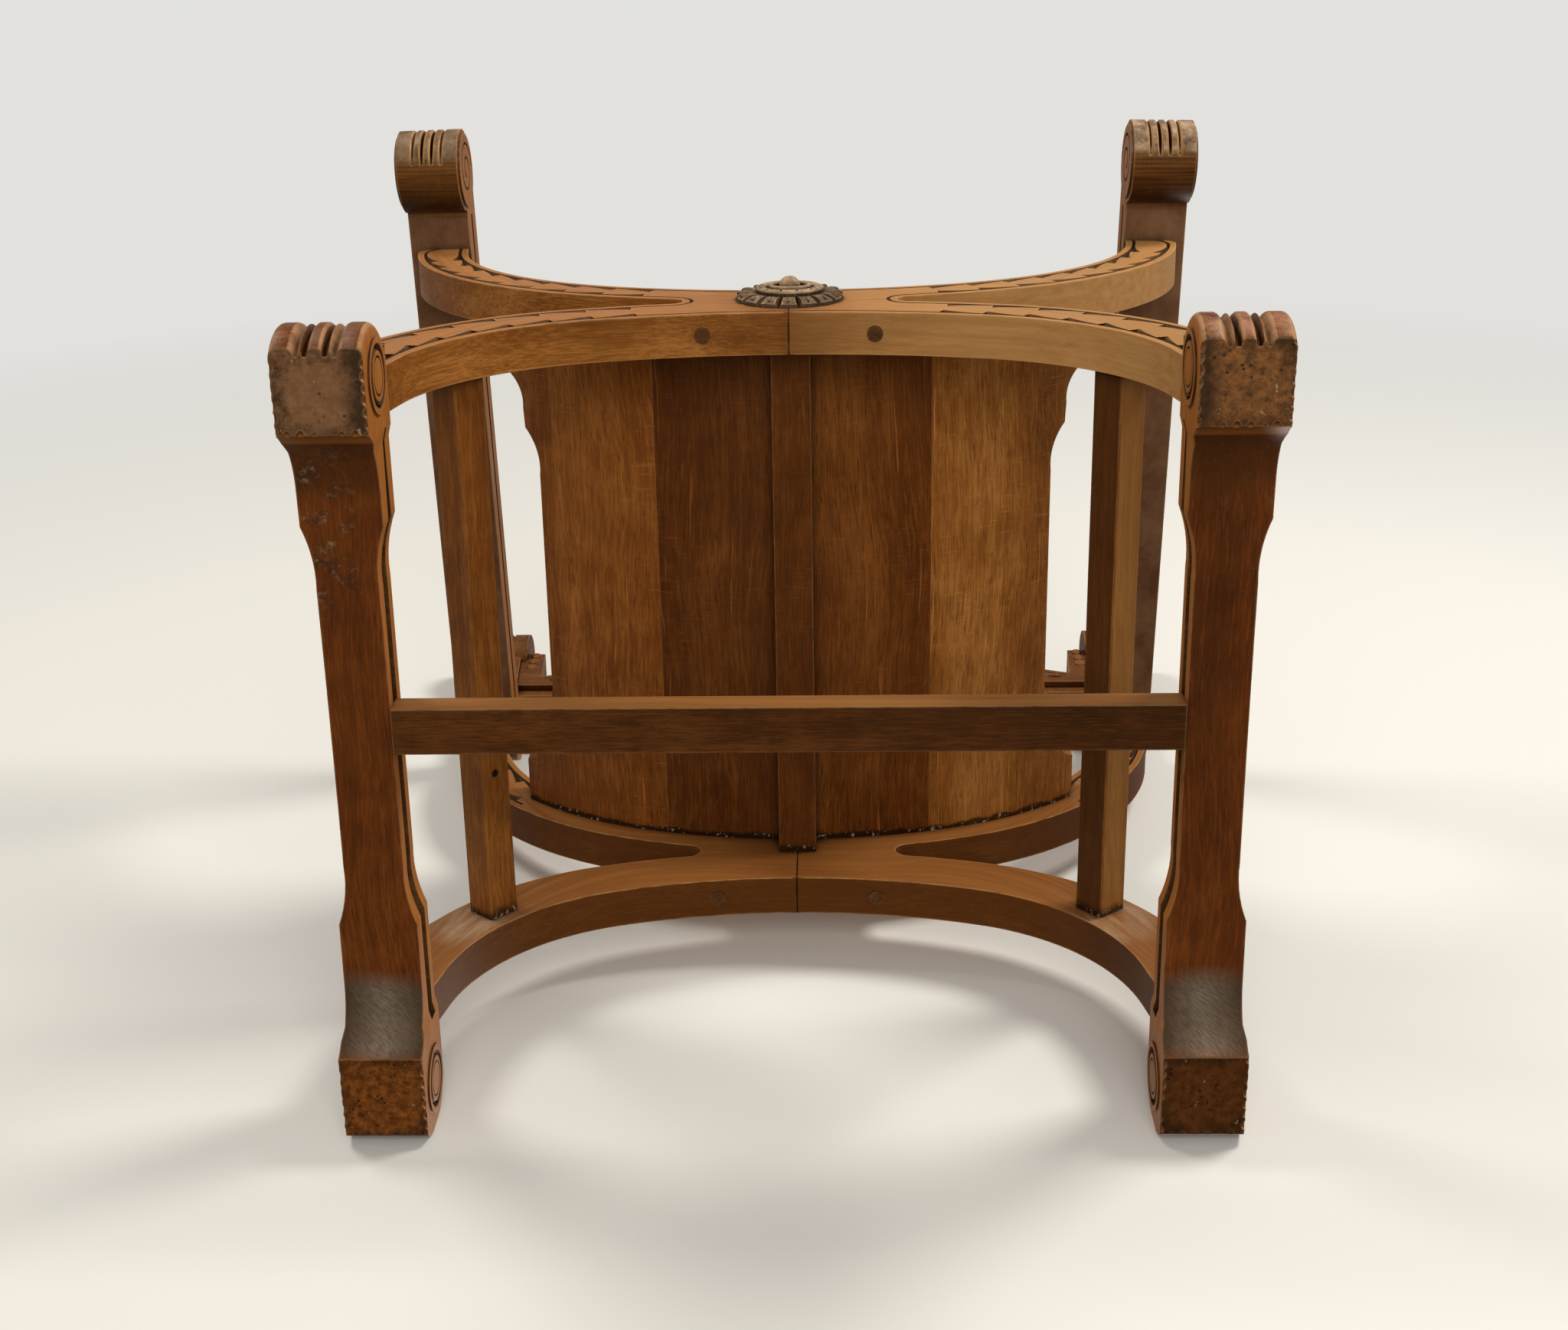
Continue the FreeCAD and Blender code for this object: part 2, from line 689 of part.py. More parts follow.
def toe_circle():
    """The centre and radius of the circle of the rounded toe, in depth and height."""
    (ax, ay), (bx, by), (cx, cy) = (
        (size("pad_front_start"), 0),
        (size("runner_front"), RUNNER_TOP / 2),
        (size("runner_front") + 22, RUNNER_TOP),
    )
    squares = [ax**2 + ay**2, bx**2 + by**2, cx**2 + cy**2]
    cross = 2 * (ax * (by - cy) + bx * (cy - ay) + cx * (ay - by))
    middle_y = (squares[0] * (by - cy) + squares[1] * (cy - ay) + squares[2] * (ay - by)) / cross
    middle_z = (squares[0] * (cx - bx) + squares[1] * (ax - cx) + squares[2] * (bx - ax)) / cross
    return middle_y, middle_z, math.dist((middle_y, middle_z), (ax, ay))


def runner_waist():
    """What is cut from one side of a runner, seen from above: a step in behind each foot."""
    foot, end, mid = (size(a) / 2 for a in ("foot_width", "runner_end_width", "runner_mid_width"))
    front, rear, reach = size("waist_front"), size("waist_rear"), size("waist_reach")
    foot_front, foot_rear = size("pad_front_end") + 8, size("pad_rear_start") - 8
    out = foot + 5
    dip = mid + 0.3 * (end - mid)
    points = [
        (foot, foot_front),
        (end, foot_front + 8),
        (end, front),
        (mid, front + reach),
        (mid, rear - reach),
        (end, rear),
        (end, foot_rear - 8),
        (foot, foot_rear),
        (out, foot_rear),
        (out, foot_front),
    ]
    pieces = polygon(points)
    pieces[2] = arc(points[2], (dip, front + 0.35 * reach), points[3])
    pieces[4] = arc(points[4], (dip, rear - 0.35 * reach), points[5])
    return pieces


def make_runner(word, side):
    body = new_body(f"runner_{word}")
    profile = new_sketch(body, "profile", "YZ_Plane")
    draw_outline(profile, runner_profile())
    pad(body, profile, "foot_width", midplane=True)
    for flank, name in ((1, "outer"), (-1, "inner")):
        waist = new_sketch(body, f"waist_{name}", "XY_Plane")
        draw_outline(waist, mirrored(runner_waist(), flank))
        pocket(body, waist, "3 * runner_height", midplane=True)

    # scroll discs on both sides of the toe and the heel
    half = size("foot_width") / 2
    toe_centre = size("runner_front") + 37
    heel_centre = size("runner_back") - 37
    for number, (y, flank) in enumerate((a, b) for a in (toe_centre, heel_centre) for b in (-1, 1)):
        base = (flank * (half - 1), y, RUNNER_TOP / 2 + 2)
        disc = ("runner_height / 2 - 9", "2.5")
        cylinder_feature(body, "Additive", f"scroll_{number}", base, (flank, 0, 0), *disc)

    # notches up the rounded toe
    ball_y, ball_z, ball = toe_circle()
    bind_ball = f"{ball:.6f} + 0.6"
    for number, x in enumerate((-12.5, -6.5, 6.5, 12.5)):
        roll_groove(body, f"notch_{number}", (x, ball_y, ball_z), 130, 100, bind_ball, "flute_radius")

    # mortises for the two crossed frames and for the stretcher
    gap = GAP / 2
    wide, thick = size("tenon_wide"), size("tenon_thick")
    mortise = ("tenon_wide + joint_gap", "tenon_thick + joint_gap", "tenon_length + joint_gap + 1")
    for name, face in (("front", FRONT_FACE), ("rear", REAR_FACE)):
        y = face + (FRAME_THICK - thick) / 2 - gap
        corner = (-wide / 2 - gap, y, RUNNER_TOP - size("tenon_length") - GAP)
        box_feature(body, "Subtractive", f"mortise_{name}", corner, mortise)
    slot = stretcher_tenon_box()
    inner = size("runner_mid_width") / 2
    slot_x = -inner - 1 if side > 0 else inner - size("stretcher_tenon") - GAP
    corner = (slot_x, slot["y"] - gap, slot["z"] - gap)
    lengths = (
        "stretcher_tenon + joint_gap + 1",
        "stretcher_deep - 10 + joint_gap",
        "stretcher_high - stretcher_low - 10 + joint_gap",
    )
    box_feature(body, "Subtractive", "mortise_stretcher", corner, lengths)
    place(body, x=side * RUNNER_X)


def stretcher_tenon_box():
    """The low front corner of the stretcher's tenons, 5 mm inside its section."""
    return {"y": size("stretcher_front") + 5, "z": size("stretcher_low") + 5}


def make_stretcher():
    body = new_body("centre_stretcher")
    inner = RUNNER_X - size("runner_mid_width") / 2
    corner = (-inner, size("stretcher_front"), size("stretcher_low"))
    long = "2 * (runner_centre - runner_mid_width / 2)"
    box_feature(body, "Additive", "bar", corner, (long, "stretcher_deep", "stretcher_high - stretcher_low"))
    slot = stretcher_tenon_box()
    for name, x in (("left", -inner - size("stretcher_tenon")), ("right", inner - 1)):
        lengths = ("stretcher_tenon + 1", "stretcher_deep - 10", "stretcher_high - stretcher_low - 10")
        box_feature(body, "Additive", f"tenon_{name}", (x, slot["y"], slot["z"]), lengths)


# Rails and rib between the two crossed frames


def make_side_rail(word, side):
    """A square rail laid corner down, so that its faces follow the arch that it joins."""
    body = new_body(f"side_rail_{word}")
    half = size("rail_size") / 2
    sketch = new_sketch(body, "section", "XZ_Plane")
    corners = []
    for quarter in range(4):
        angle = math.radians(90 * quarter + 45 - side * size("rail_angle"))
        reach = half * math.sqrt(2)
        corners.append((reach * math.cos(angle), reach * math.sin(angle)))
    draw_outline(sketch, polygon(corners))
    pad(body, sketch, "frame_rear_face - frame_front_face - frame_thick", reverse=True)
    edges = [f"Edge{n + 1}" for n, edge in enumerate(body.Shape.Edges) if edge.Length > SEAT_LENGTH - 1]
    bar = body.Tip
    chamfer = body.newObject("PartDesign::Chamfer", f"side_rail_{word}_arris")
    chamfer.Base = (bar, edges)
    chamfer.Size = 1.2
    doc.recompute()
    hole = ("dowel_size / 2 + joint_gap / 2", "dowel_length / 2 + joint_gap")
    cylinder_feature(body, "Subtractive", "front_hole", (0, 0, 0), (0, 1, 0), *hole)
    cylinder_feature(body, "Subtractive", "rear_hole", (0, SEAT_LENGTH, 0), (0, -1, 0), *hole)
    rail_x, rail_z = rail_centre()
    place(body, x=side * rail_x, y=SEAT_FRONT, z=rail_z)


def make_rib():
    """The batten under the middle of the seat, its top hollowed to fit the boards."""
    body = new_body("centre_rib")
    half, low = size("rib_width") / 2, size("rib_low")
    curve = seat_bow(1, 0)
    side_height = point_on_bow(curve, 1, half)[1]
    sketch = new_sketch(body, "section", "XZ_Plane")
    top = [(half, side_height), curve["start"], (-half, side_height)]
    pieces = [
        line((-half, low), (half, low)),
        line((half, low), top[0]),
        arc(*top),
        line(top[2], (-half, low)),
    ]
    draw_outline(sketch, pieces)
    pad(body, sketch, "frame_rear_face - frame_front_face - frame_thick", reverse=True)
    place(body, y=SEAT_FRONT)


# Seat boards


def seat_edge():
    """The shaped edge of the seat seen from above, front to back, in distances from the middle
    and depths from the board's front end: an ear at each end, a shoulder, and a long waist."""
    ends, shoulder, waist = (size(f"seat_half_{word}") for word in ("ends", "shoulder", "waist"))
    front, back = size("seat_ear_front"), SEAT_LENGTH + 2 * size("seat_housing") - size("seat_ear_back")
    step = 25

    def ear(start, turn):
        """The five points from the end of an ear to the waist, going along by turn."""
        return [
            (ends, start),
            (shoulder + 4, start + turn * 0.5 * step),
            (shoulder, start + turn * 1.3 * step),
            (shoulder - 1, start + turn * 2 * step),
            (waist + 3, start + turn * 2.6 * step),
            (waist, start + turn * 3.6 * step),
        ]

    first, last = ear(front, 1), ear(back, -1)
    return [
        arc(first[0], first[1], first[2]),
        line(first[2], first[3]),
        arc(first[3], first[4], first[5]),
        line(first[5], last[5]),
        arc(last[5], last[4], last[3]),
        line(last[3], last[2]),
        arc(last[2], last[1], last[0]),
    ]


def board(name, side, start, stop):
    """A seat board: its curved section run from the front frame to the rear one, with its
    ends let into the frames. An outer board has the shaped edge."""
    body = new_body(name)
    section = new_sketch(body, "section", "XZ_Plane")
    draw_outline(section, seat_section(side, start, stop, 0))
    length = "frame_rear_face - frame_front_face - frame_thick + 2 * seat_housing"
    pad(body, section, length, reverse=True)
    housing = size("seat_housing")
    if stop >= size("seat_half_ends"):
        out = size("seat_half_ends") + 20
        shaped = seat_edge()
        head, tail = shaped[0][1], shaped[-1][3]
        shaped += polygon([tail, (out, tail[1]), (out, head[1]), head])[:3]
        edge = new_sketch(body, "shaped_edge", "XY_Plane")
        draw_outline(edge, mirrored(shaped, side))
        pocket(body, edge, "4 * arm_under", midplane=True)
    place(body, y=SEAT_FRONT - housing)


def make_seat():
    seam, edge = size("seat_seam"), size("seat_half_ends")
    for side, word in ((1, "right"), (-1, "left")):
        board(f"seat_board_inner_{word}", side, 0, seam)
        board(f"seat_board_outer_{word}", side, seam, edge)


# Arms


def arm_profile():
    """The side of an arm: a level bar that ends in a roll at the front and a round at the back."""
    radius, under, top = size("arm_scroll_radius"), ARM_UNDER, ARM_TOP
    middle_y, middle_z = size("arm_scroll_y"), top - radius
    back, nose = size("arm_back"), size("arm_thick") / 2

    def on_roll(degrees):
        angle = math.radians(degrees)
        return (middle_y + radius * math.cos(angle), middle_z + radius * math.sin(angle))

    meet = middle_y + math.sqrt(radius**2 - (under - middle_z) ** 2)
    return [
        arc(on_roll(90), on_roll(135), on_roll(180)),
        arc(on_roll(180), on_roll(225), on_roll(270)),
        arc(on_roll(270), on_roll(310), (meet, under)),
        line((meet, under), (back - nose, under)),
        arc((back - nose, under), (back, under + nose), (back - nose, top)),
        line((back - nose, top), on_roll(90)),
    ]


def make_arm(word, side):
    body = new_body(f"arm_{word}")
    profile = new_sketch(body, "profile", "YZ_Plane")
    draw_outline(profile, arm_profile())
    pad(body, profile, "arm_width", midplane=True)
    half = size("arm_width") / 2
    scroll = (size("arm_scroll_y"), ARM_TOP - size("arm_scroll_radius"))
    for number, flank in enumerate((-1, 1)):
        base = (flank * (half - 1), *scroll)
        disc = ("scroll_face_radius", "scroll_face_proud + 1")
        cylinder_feature(body, "Additive", f"scroll_{number}", base, (flank, 0, 0), *disc)

    # notches over the top and front of the roll
    for number, x in enumerate((-13, -4, 4, 13)):
        centre = (x, *scroll)
        roll_groove(body, f"notch_{number}", centre, 96, 158, "arm_scroll_radius + 0.6", "flute_radius")

    # the mortises for both crossed frames and the back post are set out in the chair's own
    # frame, so they are turned back by the arm's small turn in plan
    angle = side * arm_turn()
    cosine, sine = math.cos(angle), math.sin(angle)
    origin_x = side * arm_centre(0)

    def mortise(name, x, y, z, wide, thick, high):
        """Cuts a box that is square to the chair: its low corner is at x, y, z."""
        feature = body.newObject("PartDesign::SubtractiveBox", f"arm_{word}_{name}")
        feature.AttachmentSupport = [(base_plane(body, "XY_Plane"), "")]
        feature.MapMode = "FlatFace"
        dx, dy = x - origin_x, y
        local = V(dx * cosine + dy * sine, -dx * sine + dy * cosine, z)
        turn = FreeCAD.Rotation(V(0, 0, 1), -math.degrees(angle))
        feature.AttachmentOffset = FreeCAD.Placement(local, turn)
        bind(feature, "Length", wide)
        bind(feature, "Width", thick)
        bind(feature, "Height", high)
        before = body.Shape.Volume
        doc.recompute()
        if body.Shape.Volume > before - 0.5:
            raise RuntimeError(f"{feature.Name} cut nothing")

    gap, thick = GAP / 2, size("tenon_thick")
    lengths = ("tenon_wide + joint_gap", "tenon_thick + joint_gap", "tenon_length + joint_gap + 1")
    for name, face in (("front", FRONT_FACE), ("rear", REAR_FACE)):
        x = side * arm_centre(face + FRAME_THICK / 2) - size("tenon_wide") / 2 - gap
        y = face + (FRAME_THICK - thick) / 2 - gap
        mortise(f"mortise_{name}", x, y, ARM_UNDER - 1, *lengths)
    x = side * post_foot_centre() - size("tenon_wide") / 2 - gap
    y = REAR_FACE + (FRAME_THICK - thick) / 2 - gap
    post_lengths = (lengths[0], lengths[1], "tenon_length - 3 + joint_gap + 1")
    mortise("mortise_post", x, y, ARM_TOP - size("tenon_length") + 3 - GAP, *post_lengths)
    body.Placement = FreeCAD.Placement(V(origin_x, 0, 0), FreeCAD.Rotation(V(0, 0, 1), math.degrees(angle)))


# Back


def post_foot_centre():
    return (size("post_foot_inner") + size("post_foot_outer")) / 2


def post_inner(height):
    """The inner edge of a back post at a height: it leans out as it rises."""
    share = (height - ARM_TOP) / (size("post_head") - ARM_TOP)
    return size("post_foot_inner") + share * (size("post_head_inner") - size("post_foot_inner"))


def make_post(word, side):
    """A back post that leans outwards to a roll at its head."""
    body = new_body(f"back_post_{word}")
    head = size("post_head")
    sketch = new_sketch(body, "outline", "XZ_Plane")
    outer_middle = ((size("post_foot_outer") + size("post_head_outer")) / 2 - 3, (ARM_TOP + head) / 2)
    pieces = [
        line((side * size("post_foot_inner"), ARM_TOP), (side * size("post_foot_outer"), ARM_TOP)),
        arc(
            (side * size("post_foot_outer"), ARM_TOP),
            (side * outer_middle[0], outer_middle[1]),
            (side * size("post_head_outer"), head),
        ),
        line((side * size("post_head_outer"), head), (side * size("post_head_inner"), head)),
        line((side * size("post_head_inner"), head), (side * size("post_foot_inner"), ARM_TOP)),
    ]
    draw_outline(sketch, pieces)
    pad(body, sketch, "frame_thick", reverse=True)
    middle_y = FRAME_THICK / 2
    ear_low = side * (size("ear_centre") - size("ear_width") / 2)
    ear = (ear_low, middle_y, size("ear_height"))
    cylinder_feature(body, "Additive", "ear", ear, (side, 0, 0), "ear_radius", "ear_width")
    for number, off in enumerate((-18, -8, 8, 18)):
        centre = (side * size("ear_centre") + off, middle_y, size("ear_height"))
        roll_groove(body, f"notch_{number}", centre, 102, 130, "ear_radius + 0.6", "flute_radius")
    wide, thick = size("tenon_wide"), size("tenon_thick")
    tenon_y, tenon_z = (FRAME_THICK - thick) / 2, ARM_TOP - size("tenon_length") + 3
    corner = (side * post_foot_centre() - wide / 2, tenon_y, tenon_z)
    box_feature(body, "Additive", "tenon", corner, ("tenon_wide", "tenon_thick", "tenon_length - 2"))

    # groove for the panel, the lower rail and the crest, along the inner edge
    tongue = size("back_tongue") + GAP
    low, high = size("back_rail_low") + 5 - GAP, size("crest_low") + 20 + GAP
    groove_points = [
        (side * (post_inner(low) - 5), low),
        (side * (post_inner(low) + tongue), low),
        (side * (post_inner(high) + tongue), high),
        (side * (post_inner(high) - 5), high),
    ]
    inset = FreeCAD.Placement(V(0, 0, (size("panel_thick") + GAP - FRAME_THICK) / 2), FreeCAD.Rotation())
    groove = new_sketch(body, "groove", "XZ_Plane", inset)
    draw_outline(groove, polygon(groove_points))
    pocket(body, groove, "panel_thick + joint_gap")
    place(body, y=REAR_FACE)


def back_board(name, outline, thick_formula, thick):
    """A board of the back, centred in the thickness of the posts."""
    body = new_body(name)
    sketch = new_sketch(body, "outline", "XZ_Plane")
    draw_outline(sketch, outline)
    pad(body, sketch, thick_formula, reverse=True)
    place(body, y=REAR_FACE + (FRAME_THICK - thick) / 2)
    return body


def back_tongues(body, low, high, thick):
    """Stub tongues at both ends of a back board, which fit the grooves of the posts."""
    tongue = size("back_tongue")
    for side, word in ((1, "right"), (-1, "left")):
        points = [
            (side * (post_inner(low) - 3), low),
            (side * (post_inner(low) + tongue), low),
            (side * (post_inner(high) + tongue), high),
            (side * (post_inner(high) - 3), high),
        ]
        inset = FreeCAD.Placement(V(0, 0, (size("panel_thick") - thick) / 2), FreeCAD.Rotation())
        sketch = new_sketch(body, f"tongue_{word}", "XZ_Plane", inset)
        draw_outline(sketch, polygon(points))
        pad(body, sketch, "panel_thick", reverse=True)


def panel_groove(body, corners, thick):
    """A groove along a back board that takes an edge of the panel. The corners are the two
    ends of its floor and the height of its mouth."""
    reach, floor, mouth = corners
    inset = FreeCAD.Placement(V(0, 0, (size("panel_thick") + GAP - thick) / 2), FreeCAD.Rotation())
    sketch = new_sketch(body, "panel_groove", "XZ_Plane", inset)
    points = [(-reach, floor), (reach, floor), (reach, mouth), (-reach, mouth)]
    draw_outline(sketch, polygon(points))
    pocket(body, sketch, "panel_thick + joint_gap")


def make_back():
    rail_low, rail_high = size("back_rail_low"), size("back_rail_high")
    panel_low, panel_high = size("panel_low"), size("panel_high")
    thick = size("crest_thick")
    rail_points = [
        (-post_inner(rail_low), rail_low),
        (post_inner(rail_low), rail_low),
        (post_inner(rail_high), rail_high),
        (-post_inner(rail_high), rail_high),
    ]
    rail = back_board("back_lower_rail", polygon(rail_points), "crest_thick", thick)
    back_tongues(rail, rail_low + 5, rail_high - 5, thick)
    low_reach = post_inner(panel_low) - 6
    panel_groove(rail, (low_reach, panel_low, rail_high + 1), thick)

    # the crest: square blocks beside the rolls, a dip, and an arched middle
    low, block, dip, top = (size(f"crest_{word}") for word in ("low", "block", "dip", "top"))
    ear_inner = size("ear_centre") - size("ear_width") / 2
    ledge = size("ear_height") - size("ear_radius")
    block_in, dip_in, arch_in = ear_inner - 18, ear_inner - 24, ear_inner - 130

    def right_side():
        return [
            (post_inner(low), low),
            (post_inner(ledge - 2) - GAP, ledge - 2),
            (ear_inner - GAP, ledge - 2),
            (ear_inner - GAP, block),
            (block_in, block),
            (dip_in, dip),
        ]

    right = right_side()
    left = [(-x, z) for x, z in reversed(right)]
    pieces = [line(a, b) for a, b in zip(right, right[1:])]
    rise = 88
    bend = ((dip_in + arch_in) / 2 + 6, dip + 24)
    pieces.append(arc(right[-1], bend, (arch_in, dip + rise)))
    pieces.append(arc((arch_in, dip + rise), (0, top), (-arch_in, dip + rise)))
    pieces.append(arc((-arch_in, dip + rise), (-bend[0], bend[1]), left[0]))
    pieces += [line(a, b) for a, b in zip(left, left[1:])]
    pieces.append(line(left[-1], right[0]))
    crest = back_board("crest_rail", pieces, "crest_thick", thick)
    back_tongues(crest, low + 4, low + 20, thick)

    # the panel, held in grooves of the rails and of the posts
    high_reach = post_inner(panel_high) - 6
    panel_groove(crest, (high_reach, panel_high, low - 1), thick)
    tongue = size("back_tongue")
    right = [
        (low_reach - GAP, panel_low + GAP),
        (low_reach - GAP, rail_high + GAP),
        (post_inner(rail_high) + tongue, rail_high + GAP),
        (post_inner(low) + tongue, low - GAP),
        (high_reach - GAP, low - GAP),
        (high_reach - GAP, panel_high - GAP),
    ]
    left = [(-x, z) for x, z in reversed(right)]
    back_board("back_panel", polygon(right + left), "panel_thick", size("panel_thick"))


# Everything is made here, from the floor up

for side, word in ((1, "right"), (-1, "left")):
    make_runner(word, side)
    make_side_rail(word, side)
    make_arm(word, side)
    make_post(word, side)
make_frames()
make_tongue("front_tongue", FRONT_FACE)
make_tongue("rear_tongue", REAR_FACE)
make_pegs()
make_boss()
make_stretcher()
make_rib()
make_seat()
make_back()
doc.recompute()

for item in doc.Objects:
    if "Invalid" in item.State or "Error" in item.State:
        raise RuntimeError(f"{item.Name} is {item.State}")
for item in subparts:
    if item.Shape.isNull() or not item.Shape.isValid():
        raise RuntimeError(f"{item.Label} has no valid shape")

os.makedirs("parts", exist_ok=True)
for item in subparts:
    item.Shape.exportStep(f"parts/{item.Label}.step")
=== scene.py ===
from contextlib import contextmanager
from math import atan2, cos, dist, pi, radians, sin, tan, tau

import bmesh
import bpy
from mathutils import Matrix, Vector


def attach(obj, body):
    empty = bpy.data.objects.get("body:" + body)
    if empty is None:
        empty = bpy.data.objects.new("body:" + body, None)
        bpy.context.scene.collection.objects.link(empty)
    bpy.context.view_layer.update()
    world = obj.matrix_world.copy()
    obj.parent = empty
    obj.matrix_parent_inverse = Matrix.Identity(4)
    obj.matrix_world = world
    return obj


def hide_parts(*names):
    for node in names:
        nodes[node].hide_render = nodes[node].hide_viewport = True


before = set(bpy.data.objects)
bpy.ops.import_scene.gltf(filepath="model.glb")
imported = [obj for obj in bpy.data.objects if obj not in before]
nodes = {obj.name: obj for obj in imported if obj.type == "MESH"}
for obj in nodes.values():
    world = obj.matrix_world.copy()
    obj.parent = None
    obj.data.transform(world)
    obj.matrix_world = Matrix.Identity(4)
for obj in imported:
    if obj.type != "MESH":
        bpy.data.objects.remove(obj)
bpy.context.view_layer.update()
MM = 0.001
ALONG_X, ALONG_Y, ALONG_Z = (1, 0, 0), (0, 1, 0), (0, 0, 1)

# Places on the chair that its looks and its carving share, in millimetres. A pad is given by
# its middle and half its length.

RUNNER_X, RUNNER_HALF = 303, 31
PADS = ((-232, 29), (299, 32))
FRONT_FACE, REAR_FACE = -233, 249
CREST_FACE, PANEL_FACE = 252, 258.5


# Colours, written as the sRGB values that they show as


def colour(red, green, blue):
    """A linear colour for a material from sRGB values of 0 to 255."""

    def linear(value):
        value /= 255
        return value / 12.92 if value <= 0.04045 else ((value + 0.055) / 1.055) ** 2.4

    return (linear(red), linear(green), linear(blue), 1.0)


def scaled(shade, factor):
    return tuple(min(1.0, factor * c) for c in shade[:3]) + (1.0,)


# Materials


class Nodes:
    """The node tree of a material or world, with short calls to add nodes and link them."""

    def __init__(self, owner):
        owner.use_nodes = True
        self.tree = owner.node_tree
        self.shader = self.tree.nodes.get("Principled BSDF")

    def wire(self, node, inputs):
        """Links inputs of a node, or sets them."""
        for key, value in inputs.items():
            if isinstance(value, bpy.types.NodeSocket):
                self.tree.links.new(value, node.inputs[key])
            else:
                node.inputs[key].default_value = value

    def add(self, kind, inputs=None, **fields):
        node = self.tree.nodes.new(f"ShaderNode{kind}")
        for field, value in fields.items():
            setattr(node, field, value)
        self.wire(node, inputs or {})
        return node

    def maths(self, operation, first, second=0.0):
        return self.add("Math", {0: first, 1: second}, operation=operation).outputs[0]

    def plus(self, first, second):
        return self.maths("ADD", first, second)

    def minus(self, first, second):
        return self.maths("SUBTRACT", first, second)

    def larger(self, first, second):
        return self.maths("MAXIMUM", first, second)

    def size(self, value):
        return self.maths("ABSOLUTE", value)

    def times(self, first, *others):
        for other in others:
            first = self.maths("MULTIPLY", first, other)
        return first

    def distance(self, place, spot):
        return self.add("VectorMath", {0: place, 1: spot}, operation="DISTANCE").outputs["Value"]

    def mapped(self, vector, **inputs):
        return self.add("Mapping", {"Vector": vector, **inputs}).outputs[0]

    def noise(self, vector, scale, detail=4.0, rough=0.55, distort=0.0):
        inputs = {"Vector": vector, "Scale": scale, "Detail": detail, "Roughness": rough}
        return self.add("TexNoise", {**inputs, "Distortion": distort}).outputs["Fac"]

    def spread(self, value, low, high, out_low=0.0, out_high=1.0):
        """Maps a value from one range to another, and holds it there."""
        inputs = {"Value": value, "From Min": low, "From Max": high}
        inputs |= {"To Min": out_low, "To Max": out_high}
        return self.add("MapRange", inputs, clamp=True).outputs[0]

    def band(self, value, low, high, soft):
        """1 between two values, fading out over a soft margin on both sides."""
        return self.times(self.spread(value, low - soft, low), self.spread(value, high + soft, high))

    def mix(self, factor, *pair):
        """Mixes two shades: each is a link, a linear colour or three sRGB values."""
        first, second = (colour(*s) if isinstance(s, tuple) and len(s) == 3 else s for s in pair)
        return self.add("Mix", {0: factor, 6: first, 7: second}, data_type="RGBA").outputs[2]

    def ramp(self, value, stops):
        node = self.add("ValToRGB", {"Fac": value})
        elements = node.color_ramp.elements
        while len(elements) < len(stops):
            elements.new(0.5)
        for element, (place, shade) in zip(elements, stops):
            element.position = place
            element.color = shade
        return node.outputs["Color"]


